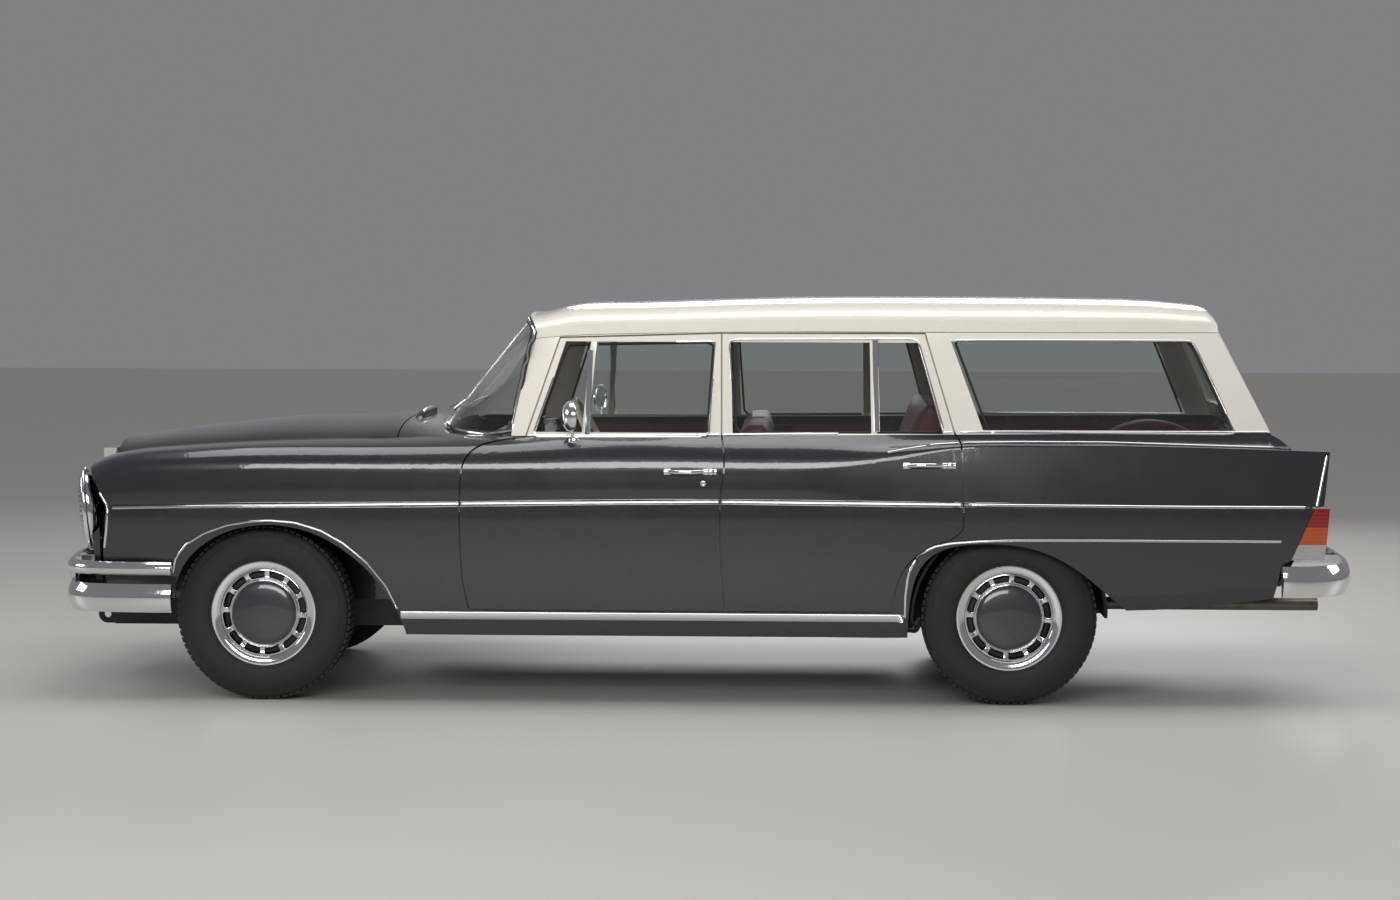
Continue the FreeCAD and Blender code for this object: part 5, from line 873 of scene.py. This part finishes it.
for end, (x0, x1, z) in HANDLES.items():
    for side, sign in SIDES:
        node = "door_%s_%s" % (end, side)
        rows = []
        for share, lift in zip(shares(len(LIFTS) - 1), LIFTS):
            place, facing = on_door(node, sign, x0 + (x1 - x0 - GRIP_SHORT) * share, z)
            rows.append((place + facing * lift / 1000, facing))
        moulding("handle_" + node, rows, 15, 5, CHROME, node)
        for label, which, start, count in FEET:
            foot = [on_door(node, sign, (x0, x1)[which] + start + FOOT_STEP * i, z) for i in range(count)]
            moulding("handle_%s_foot_%s" % (label, node), foot, 24, 7, CHROME, node)
        place, _ = on_door(node, sign, x1 - BUTTON_SHORT, z)
        piece("handle_button_" + node, lathe(BUTTON, place, sign, 40), node, CHROME)
        if end == "front":
            place, _ = on_door(node, sign, x1 - LOCK_SHORT, z - LOCK_BELOW)
            piece("door_lock_" + node, lathe(LOCK, place, sign, 32), node, CHROME)

MIRROR_HEAD, MIRROR_TURN = (1133, 838, 1058), 22
SHELL = ((-26, 0), (-25, 20), (-19, 38), (-8, 52), (4, 57), (10, 57.5), (12, 56), (11, 53), (6, 52), (4, 0))
MIRROR_GLASS = ((3, 0), (3, 52), (7.5, 52), (8, 50), (8.4, 0))
MIRROR_BASE = ((-3, 0), (-3, 21), (3, 20), (9, 12), (11, 0))
BASE_PLACE, STEM_BOW = (1150, 966), 0.012
for side, sign in SIDES:
    node = "door_front_" + side
    aft, across, up = MIRROR_HEAD
    centre = at(aft, across * sign, up)
    turn = Matrix.Translation(centre) @ Matrix.Rotation(math.radians(-90 - MIRROR_TURN * sign), 4, "Z")
    for name, profile, material in (("shell", SHELL, CHROME), ("glass", MIRROR_GLASS, MIRROR)):
        mesh = lathe(profile, Vector(), 1, 64)
        mesh.transform(turn)
        piece("mirror_%s_%s" % (name, side), mesh, node, material)
    foot, _ = on_door(node, sign, *BASE_PLACE)
    stem = [(foot.lerp(centre, share) + Vector((0, sign * STEM_BOW * math.sin(math.pi * share), 0)),
             Vector((1, 0, 0))) for share in shares(8)[:-1]]
    moulding("mirror_stem_" + side, stem, 10, 5, CHROME, node)
    piece("mirror_base_" + side, lathe(MIRROR_BASE, foot, sign, 40), node, CHROME)
print("four door handles and two mirrors")

# %% [markdown]
# Each headlamp is an upright oval: a chrome bezel, a domed glass with pressed ribs, and behind it a bowl
# plated like a mirror, with a shield in front of the bulb. Below the bulb sits the small amber lamp. The
# parts are rings of one oval at several sizes, so they nest.

# %% Headlamps
LAMP_AHEAD, LAMP_ACROSS, LAMP_UP = 668, 742, 702
LAMP_SIZE = (96, 152)                 # half its width and half its height
LAMP_LEAN, LAMP_SWEEP = 0.09, 0.10    # how its face falls back upwards and outwards


def lamp_ring(sign, scale, out_mm, middle=(0, 0), size=LAMP_SIZE):
    """A ring of the lamp's oval, scaled, and moved ahead of the lamp's face."""
    ring = []
    for angle in angles(72):
        y = middle[0] + size[0] * scale * math.cos(angle)
        z = middle[1] + size[1] * scale * math.sin(angle)
        back = LAMP_SWEEP * max(0, y) - LAMP_LEAN * z
        ring.append(at(back - LAMP_AHEAD - out_mm, sign * (LAMP_ACROSS + y), LAMP_UP + z))
    return ring


def joined(meshes):
    """Several meshes as one."""
    bm = bmesh.new()
    for mesh in meshes:
        bm.from_mesh(mesh)
    result = bpy.data.meshes.new("joined")
    bm.to_mesh(result)
    bm.free()
    return result


DOME = ((0.93, 2), (0.90, 9), (0.80, 17), (0.60, 25), (0.35, 29), (0.15, 31), (0, 31.5))
DOME_INNER, DOME_WALL = 0.97, 4
BOWL = ((0.92, -1), (0.80, -24), (0.60, -44), (0.30, -58), (0, -62))
BOWL_OUTER, BOWL_WALL = 1.02, 3
BEZEL_SHARE = 0.965
SHIELD, SHIELD_MIDDLE, SHIELD_SIZE = ((0, -16), (1, -20), (1, -24), (0, -26)), (0, 34), (27, 27)
AMBER, AMBER_MIDDLE, AMBER_SIZE = ((0, -2), (0.6, -3), (0.95, -8), (1, -22), (0, -24)), (0, -98), (44, 28)
AMBER_LENS = surface("amber_lamp_acrylic", "#c9640f", 30, (0.08, 0.14), Coat_Weight=1.0, IOR=1.49)
domes, bowls = [], []
for side, sign in SIDES:
    inner = [lamp_ring(sign, s * DOME_INNER, out - DOME_WALL) for s, out in DOME[::-1]]
    domes.append(skin([lamp_ring(sign, s, out) for s, out in DOME] + inner, closed=True))
    outer = [lamp_ring(sign, s * BOWL_OUTER, out - BOWL_WALL) for s, out in BOWL[::-1]]
    bowls.append(skin([lamp_ring(sign, s, out) for s, out in BOWL] + outer, closed=True))
    rim = [(place, Vector((-1, 0, 0))) for place in lamp_ring(sign, BEZEL_SHARE, 0)]
    moulding("headlamp_bezel_" + side, rim, 20, 9, CHROME, "body", closed=True)
    shield = [lamp_ring(sign, s, out, SHIELD_MIDDLE, SHIELD_SIZE) for s, out in SHIELD]
    piece("bulb_shield_" + side, skin(shield, ends=False), "body", CHROME)
    amber = [lamp_ring(sign, s, out, AMBER_MIDDLE, AMBER_SIZE) for s, out in AMBER]
    piece("amber_lamp_" + side, skin(amber, ends=False), "body", AMBER_LENS)
lenses = piece("headlamp_glasses", joined(domes), "body", LAMP_GLASS)
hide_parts("headlamps")
piece("headlamp_bowls", joined(bowls), "body", MIRROR)
print("headlamps made of glass, bowl, shield, amber lamp and bezel")

# %% [markdown]
# Small bright parts finish the ends: posts between the two front bumper blades, a strip along the edge
# of each front wing, strips ahead of the tail lamps, a blank rear plate, handles on hatch and gate, and
# an air intake on the cowl. The grille has a black backing so that no light falls through it.

# %% Bumper posts, grille backing, plate, gate handles and air intake
POSTS, POST_HALF, POST_DEPTHS, POST_HEIGHTS = (250, 600), 17, (4, 30), (424, 472)
WING_EDGE = ((-648, 858), (-610, 780), (-570, 711), (-576, 630), (-586, 560))
for side, sign in SIDES:
    for across in POSTS:
        x = touch(["front_bumper"], at(-1500, across * sign, 485), Vector((1, 0, 0)))[1].x
        low, high = [Vector((x + depth / 1000, (across * sign + half) / 1000, up / 1000))
                     for depth, half, up in zip(POST_DEPTHS, (-POST_HALF, POST_HALF), POST_HEIGHTS)]
        post = piece("bumper_post_%s_%d" % (side, across), slab(low, high), "body", CHROME)
        soften(post, 4, 3)
    strip("wing_edge_strip", side, WING_EDGE, 10, 5, ["wing_front_" + side])

WIRES, WIRE_STEP, WIRE_SIZE = 38, 0.0083, Vector((0.001, 0.262, 0.001))
backing = slab(at(-655, -268, 560), at(-651, 268, 880))
soften(piece("grille_backing", backing, "bonnet", BLACK_METAL), 1)
grow("grille_wires", slab(-WIRE_SIZE, WIRE_SIZE), REPEAT, "bonnet", BLACK_METAL, Count=WIRES,
     Step=(0, 0, WIRE_STEP), Centre=at(-657, 0, 566))

BEHIND = 4600                         # mm behind the front axle, past the rear bumper


def from_behind(node, across, up):
    """The place and the facing of a panel at a place seen from behind the car."""
    hit = touch([node], at(BEHIND, across, up), Vector((-1, 0, 0)))
    return hit and hit[1:]


PLATE = surface("blank_pressed_plate", "#d9d8d2", 60, (0.3, 0.42), Coat_Weight=0.3)
PLATE_CORNERS, PLATE_BACK, PLATE_FACE = ((-260, 655), (260, 655), (260, 765), (-260, 765)), 0.002, 0.006
corners = [from_behind("tailgate", *corner) for corner in PLATE_CORNERS]
rings = [[place for place, _ in lifted(corners, lift)] for lift in (PLATE_BACK, PLATE_FACE)]
soften(piece("rear_plate", skin(rings), "tailgate", PLATE), 1.5)
frame_rows = []
face = lifted(corners, PLATE_FACE)
for (place, facing), (following, _) in zip(face, face[1:] + face[:1]):
    frame_rows += [(place, facing), (place.lerp(following, 0.5), facing)]
moulding("rear_plate_frame", frame_rows, 9, 4, CHROME, "tailgate", closed=True)
BACK_BARS = (("tailgate_handle", "tailgate", 905, 110, 0.018), ("hatch_strip", "hatch", 1016, 560, 0),
             ("tailgate_strip", "tailgate", 800, 560, 0))      # name, panel, height, half length, bow
for name, node, up, half, bow in BACK_BARS:
    rows = []
    for share in shares(24):
        hit = from_behind(node, half * (share * 2 - 1), up)
        if hit:
            rows += lifted([hit], bow * math.sin(math.pi * share))
    moulding(name, rows, 16, 6, CHROME, node)

INTAKE_HALF, INTAKE_RISE, INTAKE_FOOT = 250, 62, 992
INTAKE = ((484, 0), (486, 0.60), (496, 0.90), (508, 1.0), (517, 1.0), (521, 0.92), (521, 0))
rings = []
for share in shares(32):
    side_share = share * 2 - 1
    rise = INTAKE_RISE * (1 - abs(side_share) ** 4) ** 0.5 + 1
    rings.append([at(x, INTAKE_HALF * side_share, INTAKE_FOOT + rise * up) for x, up in INTAKE])
piece("cowl_air_intake", skin(rings), "body", SLATE_PAINT)
BAR_HALF = Vector((0.0015, 0.002, 0.019))
grow("intake_bars", slab(-BAR_HALF, BAR_HALF), REPEAT, "body", BLACK_METAL, Count=45, Step=(0, 0.01, 0),
     Centre=at(521, -220, 1025))
print("end trims made")

# %% [markdown]
# The seats are padded: horsehair and springs under leather, sewn into upright channels. Each pad starts
# as a plain rounded form a little smaller than the seat. It gets an even mesh, swells as cloth under a
# gentle pressure, and no point may move further than a set distance, so that it stays soft but in shape.
# The channels and seams are pressed in afterwards, because an even mesh loses anything thinner than itself.


# %% Padded seats
VOXEL = 0.012
PRESSURE, LAST_FRAME = 4, 20
ROUNDING = (0, 0.15, 0.5, 1)          # shares of the quarter turn that rounds a block's end


def settled(thing):
    """Puts the mesh that a piece's modifiers make in place of its own."""
    result = as_built(thing)
    thing.modifiers.clear()
    thing.data = result


def block(outline, y0, y1, round_mm):
    """A form with an outline of (mm behind the front axle, mm up) and rounded ends, from y0 to y1 in mm."""
    middle = Vector((sum(x for x, _ in outline) / len(outline), sum(z for _, z in outline) / len(outline)))
    rings = []
    for share in ROUNDING:
        inset = round_mm * (1 - math.sin(share * math.pi / 2))
        ring = [Vector(p) + (middle - Vector(p)).normalized() * inset for p in outline]
        rings.append((round_mm * (1 - math.cos(share * math.pi / 2)), ring))
    rows = [[at(p[0], y0 + out, p[1]) for p in ring] for out, ring in rings]
    rows += [[at(p[0], y1 - out, p[1]) for p in ring] for out, ring in rings[::-1]]
    return skin(rows)


def pad(name, mesh, material, cap_mm, groove):
    """A padded piece: an even mesh, swollen as cloth, smoothed, with its seams pressed in by `groove`."""
    thing = piece(name, mesh, "body", material)
    voxels = thing.modifiers.new("even mesh", "REMESH")
    voxels.mode, voxels.voxel_size = "VOXEL", VOXEL
    settled(thing)
    rest = [vertex.co.copy() for vertex in thing.data.vertices]
    cloth = thing.modifiers.new("swell", "CLOTH")
    cloth.settings.use_pressure = True
    cloth.settings.uniform_pressure_force = PRESSURE
    cloth.settings.effector_weights.gravity = 0
    for number in range(1, LAST_FRAME + 1):
        SCENE.frame_set(number)
    settled(thing)
    SCENE.frame_set(1)
    for vertex, start in zip(thing.data.vertices, rest):
        move = vertex.co - start
        if move.length > cap_mm / 1000:
            vertex.co = start + move.normalized() * cap_mm / 1000
    smooth = thing.modifiers.new("smooth", "SUBSURF")
    smooth.levels = smooth.render_levels = 1
    settled(thing)
    facings = [vertex.normal.copy() for vertex in thing.data.vertices]
    for vertex, facing in zip(thing.data.vertices, facings):
        vertex.co -= facing * groove(vertex.co, facing) / 1000
    thing.data.materials.clear()
    thing.data.materials.append(material)
    for polygon in thing.data.polygons:
        polygon.use_smooth = True
    return thing


def dip(distance_mm, width_mm, depth_mm):
    """The depth of a sewn seam at a distance from its line."""
    return depth_mm * math.exp(-(distance_mm / width_mm) ** 2)


SEAM, CHANNEL = (6, 7), (7, 6)        # width and depth in mm
FACES_SITTER = 0.35                   # a face turned this far up or forwards carries channels
PAST_SEAM = -3


def channels(y0, y1, step_mm, edge_mm):
    """A groove for a seat face: upright channels in the middle panel, and a seam at each side of it."""
    def groove(place, facing):
        if facing.z < FACES_SITTER and facing.x > -FACES_SITTER:
            return 0
        y = place.y * 1000
        inside = min(y - y0 - edge_mm, y1 - edge_mm - y)
        if inside < PAST_SEAM:
            return dip(inside, *SEAM)
        return max(dip(inside, *SEAM), dip((y - y0) % step_mm - step_mm / 2, *CHANNEL))
    return groove


FRONT_CUSHION = ((1306, 322), (1300, 500), (1318, 540), (1360, 548), (1690, 530), (1700, 330))
FRONT_BACK = ((1708, 400), (1700, 560), (1768, 1010), (1788, 1036), (1845, 1038), (1864, 1015), (1798, 560),
              (1796, 400))
REAR_CUSHION = ((2048, 322), (2044, 520), (2060, 556), (2110, 560), (2252, 550), (2252, 330))
REAR_BACK = ((2266, 400), (2262, 590), (2446, 1080), (2464, 1104), (2518, 1106), (2534, 1084), (2362, 570),
             (2360, 400))
FRONT_SEAT = (45, 665, 26, 62, 120)   # from, to, end rounding, channel pitch and plain edge, in mm
REAR_HALF, REAR_PITCH, REAR_EDGE = 590, 74, 110
SWELL_ROOM = 16                       # how much smaller at each end a form starts, as it will swell
for side, sign in SIDES:
    y0, y1 = sorted((FRONT_SEAT[0] * sign, FRONT_SEAT[1] * sign))
    for name, outline, cap in (("cushion", FRONT_CUSHION, 16), ("back", FRONT_BACK, 18)):
        mesh = block(outline, y0 + SWELL_ROOM, y1 - SWELL_ROOM, FRONT_SEAT[2])
        pad("front_seat_%s_%s" % (name, side), mesh, RED_LEATHER, cap,
                        channels(y0, y1, *FRONT_SEAT[3:]))
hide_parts("front_seats")
rear_channels = channels(-REAR_HALF, REAR_HALF, REAR_PITCH, REAR_EDGE)
for name, outline, rounding, cap in (("cushion", REAR_CUSHION, 26, 14), ("back", REAR_BACK, 28, 16)):
    mesh = block(outline, SWELL_ROOM - REAR_HALF, REAR_HALF - SWELL_ROOM, rounding)
    pad("rear_seat_" + name, mesh, RED_LEATHER, cap, rear_channels)
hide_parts("rear_seat")
print("seat pads made")

# %% [markdown]
# The spare wheel stands upright behind the rear seat in a soft jacket of red vinyl cloth. The jacket is
# turned like the wheel inside it, swells like the seats, and has a sewn welt along each edge of its rim.

# %% Spare wheel jacket
SPARE = at(2750 + 665, 620, 336 + 340)
SPARE_SECTION = ((-84, 0), (-84, 250), (-80, 300), (-66, 322), (-20, 327), (20, 327), (66, 322), (80, 300),
                 (84, 250), (84, 0))
RIM_FROM = 300
RIM_WELTS, RIM_WELT = (535, 705), (5, 6)
FACE_WELT_R, FACE_WELT = 180, (6, 5)
BUTTON_DIP = (30, 9)


def welts(place, facing):
    """The jacket's grooves: sewn welts at both edges of its rim and in its face, and a buttoned middle."""
    y = place.y * 1000
    radius = math.hypot(place.x - SPARE.x, place.z - SPARE.z) * 1000
    if radius > RIM_FROM:
        return max(dip(y - welt, *RIM_WELT) for welt in RIM_WELTS)
    return max(dip(radius - FACE_WELT_R, *FACE_WELT), dip(radius, *BUTTON_DIP))


jacket = lathe(SPARE_SECTION, SPARE, 1, 96)
jacket = pad("spare_wheel_jacket", jacket, RED_CLOTH, 12, welts)
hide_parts("spare_wheel_cover")
print("spare wheel jacket made")

# %% [markdown]
# Inside, each door wears a trim card in leather with a bright strip, an armrest and a winder. The floor
# is carpeted, and the load floor has bright runners on which luggage slides.

# %% Door cards and carpets
TAN_LEATHER = hide("grained_tan_leather", "#4a3a29", "#5d4a35")
CARDS = {"front": (1020, 1600, 1330), "rear": (1790, 2300, 2080)}      # from, to, and the armrest's middle
CARD_DEPTHS, CARD_HEIGHTS = (757, 767), (430, 955)
REST_DEPTHS, REST_HEIGHTS, REST_HALF = (712, 758), (690, 745), 130
CARD_STRIP_UP, CARD_STRIP_INSET = 800, 12
WINDER_AHEAD, WINDER_UP = 120, 630
WINDER_REACH = Vector((-0.10, 0.016, -0.03))
WINDER_LIFT = 0.012
WINDER_BOSS = ((0, 0), (0, 17), (10, 15), (14, 0))
WINDER_KNOB = ((-4, 0), (-4, 8), (4, 9), (18, 11), (24, 8), (26, 0))


def door_block(name, node, sign, x0, x1, depths, heights, edge_mm):
    """A softened block of leather on the inside of a door."""
    y0, y1 = sorted(depth * sign for depth in depths)
    block_mesh = slab(at(x0, y0, heights[0]), at(x1, y1, heights[1]))
    soften(piece(name + node, block_mesh, node, RED_LEATHER), *edge_mm)


for end, (x0, x1, rest_x) in CARDS.items():
    for side, sign in SIDES:
        node = "door_%s_%s" % (end, side)
        inwards = Vector((0, -sign, 0))
        door_block("door_card_", node, sign, x0, x1, CARD_DEPTHS, CARD_HEIGHTS, (4, 3))
        door_block("armrest_", node, sign, rest_x - REST_HALF, rest_x + REST_HALF, REST_DEPTHS, REST_HEIGHTS,
                   (16, 5))
        start, length = x0 + CARD_STRIP_INSET, x1 - x0 - 2 * CARD_STRIP_INSET
        rows = [(at(start + length * share, CARD_DEPTHS[0] * sign, CARD_STRIP_UP), inwards)
                for share in shares(12)]
        moulding("card_strip_" + node, rows, 10, 3, CHROME, node)
        hub = at(x1 - WINDER_AHEAD, CARD_DEPTHS[0] * sign, WINDER_UP)
        piece("winder_boss_" + node, lathe(WINDER_BOSS, hub, -sign, 40), node, CHROME)
        reach = Vector((WINDER_REACH.x, -sign * WINDER_REACH.y, WINDER_REACH.z))
        arm = [(hub + inwards * WINDER_LIFT + reach * share, inwards) for share in shares(8)]
        moulding("winder_arm_" + node, arm, 11, 4, CHROME, node)
        piece("winder_knob_" + node, lathe(WINDER_KNOB, arm[-1][0], -sign, 40), node, IVORY)

CARPETS = (((700, -720), (1285, 720)), ((1285, -40), (1820, 40)), ((1815, -720), (2020, 720)))
PILE = (300.5, 307)
carpets = [slab(at(*low, PILE[0]), at(*high, PILE[1])) for low, high in CARPETS]
soften(piece("floor_carpets", joined(carpets), "body", CARPET), 2)
load_carpet = slab(at(2410, -585, 560.5), at(3700, 495, 565))
soften(piece("load_carpet", load_carpet, "body", CARPET), 2)
runner = slab(Vector((0, -0.011, -0.002)), Vector((1.25, 0.011, 0.003)))
grow("load_runners", runner, REPEAT, "body", CHROME, Count=7, Step=(0, 0.16, 0), Centre=at(2430, -525, 567))

# %% [markdown]
# The dashboard is a plank of varnished wood. In front of the driver a padded brow shades the speedometer,
# a clock sits in the middle, and the steering wheel has a bright horn ring round an ivory pad. The brow
# is an arch drawn as a row of sections, each with the same profile at its own height.

# %% Dashboard and steering wheel
DRIVER_ACROSS = -380
BROW_HALF, BROW_RISE, BROW_FOOT = 150, 58, 968
BROW = ((860, 0.4), (872, 0.9), (900, 1.0), (992, 1.06), (994, 0.98), (960, 0.86))
rings = []
for share in shares(16):
    half, rise = BROW_HALF * math.cos(math.pi * share), BROW_RISE * math.sin(math.pi * share)
    rings.append([at(x, DRIVER_ACROSS + half * scale, BROW_FOOT + rise * scale) for x, scale in BROW])
piece("instrument_brow", skin(rings), "body", TAN_LEATHER)
DIAL = ((0, 0), (0, 44), (4, 46), (6, 43), (3, 40), (3, 0))
DIAL_AFT, DIAL_UP = 986, 905
for name, across, scale in (("speed_dial", DRIVER_ACROSS, 1.0), ("clock_dial", 60, 0.8)):
    dial = lathe(DIAL, Vector(), 1, 48)
    place = Matrix.Translation(at(DIAL_AFT, across, DIAL_UP))
    dial.transform(place @ Matrix.Rotation(math.radians(-90), 4, "Z") @ Matrix.Diagonal((scale, 1, scale, 1)))
    piece(name, dial, "body", BLACK_METAL)
HORN_R, HORN_BELOW = 0.125, 0.012
HORN_PAD = ((-14, 0), (-14, 42), (2, 44), (14, 36), (20, 18), (21, 0))
wheel = JOINTS["steering_wheel_turn"]
hub, axis = Vector(wheel["pos_m"]), Vector(wheel["axis"]).normalized()
on_column = Matrix.Translation(hub) @ axis.to_track_quat("Z", "Y").to_matrix().to_4x4()
ring = [(on_column @ Vector((HORN_R * math.cos(a), HORN_R * math.sin(a), -HORN_BELOW)), axis)
        for a in angles(72)]
moulding("horn_ring", ring, 7, 6, CHROME, "steering_wheel", closed=True)
pad_mesh = lathe(HORN_PAD, Vector(), 1, 64)
pad_mesh.transform(on_column @ Matrix.Rotation(math.radians(90), 4, "X"))
piece("horn_pad", pad_mesh, "steering_wheel", IVORY)
print("cabin trimmed")

# %% [markdown]
# The studio is plain: a pale floor, a soft grey world that shows in the chrome, and broad lamps above
# and beside the car. They light a colour to about the value it is written with.

# %% Studio
FLOOR, tree, shader = finish("studio_floor", Base_Color=linear("#bcb8b2"), Roughness=0.45)
floor = bpy.data.objects.new("floor", bpy.data.meshes.new("floor"))
corners = [(-40, -40, 0), (40, -40, 0), (40, 40, 0), (-40, 40, 0)]
floor.data.from_pydata(corners, [], [(0, 1, 2, 3)])
floor.data.materials.append(FLOOR)
SCENE.collection.objects.link(floor)

world = bpy.data.worlds.new("studio")
world.use_nodes = True
tree = world.node_tree
rays = add(tree, "ShaderNodeLightPath").outputs
seen = add(tree, "ShaderNodeMath", operation="MAXIMUM")
tree.links.new(rays["Is Camera Ray"], seen.inputs[0])
shown = add(tree, "ShaderNodeMath", operation="MAXIMUM")
tree.links.new(rays["Is Glossy Ray"], shown.inputs[0])
tree.links.new(rays["Is Transmission Ray"], shown.inputs[1])
tree.links.new(shown.outputs[0], seen.inputs[1])
backdrop = tree.nodes["Background"]
tree.links.new(between(tree, seen.outputs[0], "#a4a4a6", "#828185"), backdrop.inputs["Color"])
SCENE.world = world


def softbox(name, place, target, wide, deep, watts):
    """A broad rectangular lamp at a place, turned to a target."""
    lamp = bpy.data.lights.new(name, "AREA")
    lamp.shape, lamp.size, lamp.size_y, lamp.energy = "RECTANGLE", wide, deep, watts
    holder = bpy.data.objects.new(name, lamp)
    aim = (Vector(target) - Vector(place)).to_track_quat("-Z", "Y")
    holder.matrix_world = Matrix.Translation(place) @ aim.to_matrix().to_4x4()
    SCENE.collection.objects.link(holder)


softbox("overhead_softbox", (0.2, -0.6, 4.6), (0.2, 0, 0), 6.5, 2.6, 140)
softbox("left_softbox", (-1.0, -7.5, 3.4), (0, 0, 0.7), 5.0, 2.0, 220)
softbox("right_softbox", (1.0, 7.5, 3.4), (0, 0, 0.7), 5.0, 2.0, 160)
softbox("front_softbox", (-8.0, -1.0, 3.0), (-2, 0, 0.7), 3.0, 2.0, 140)
softbox("rear_softbox", (8.0, 1.0, 3.0), (2, 0, 0.7), 3.0, 2.0, 140)
print("studio lamps set")
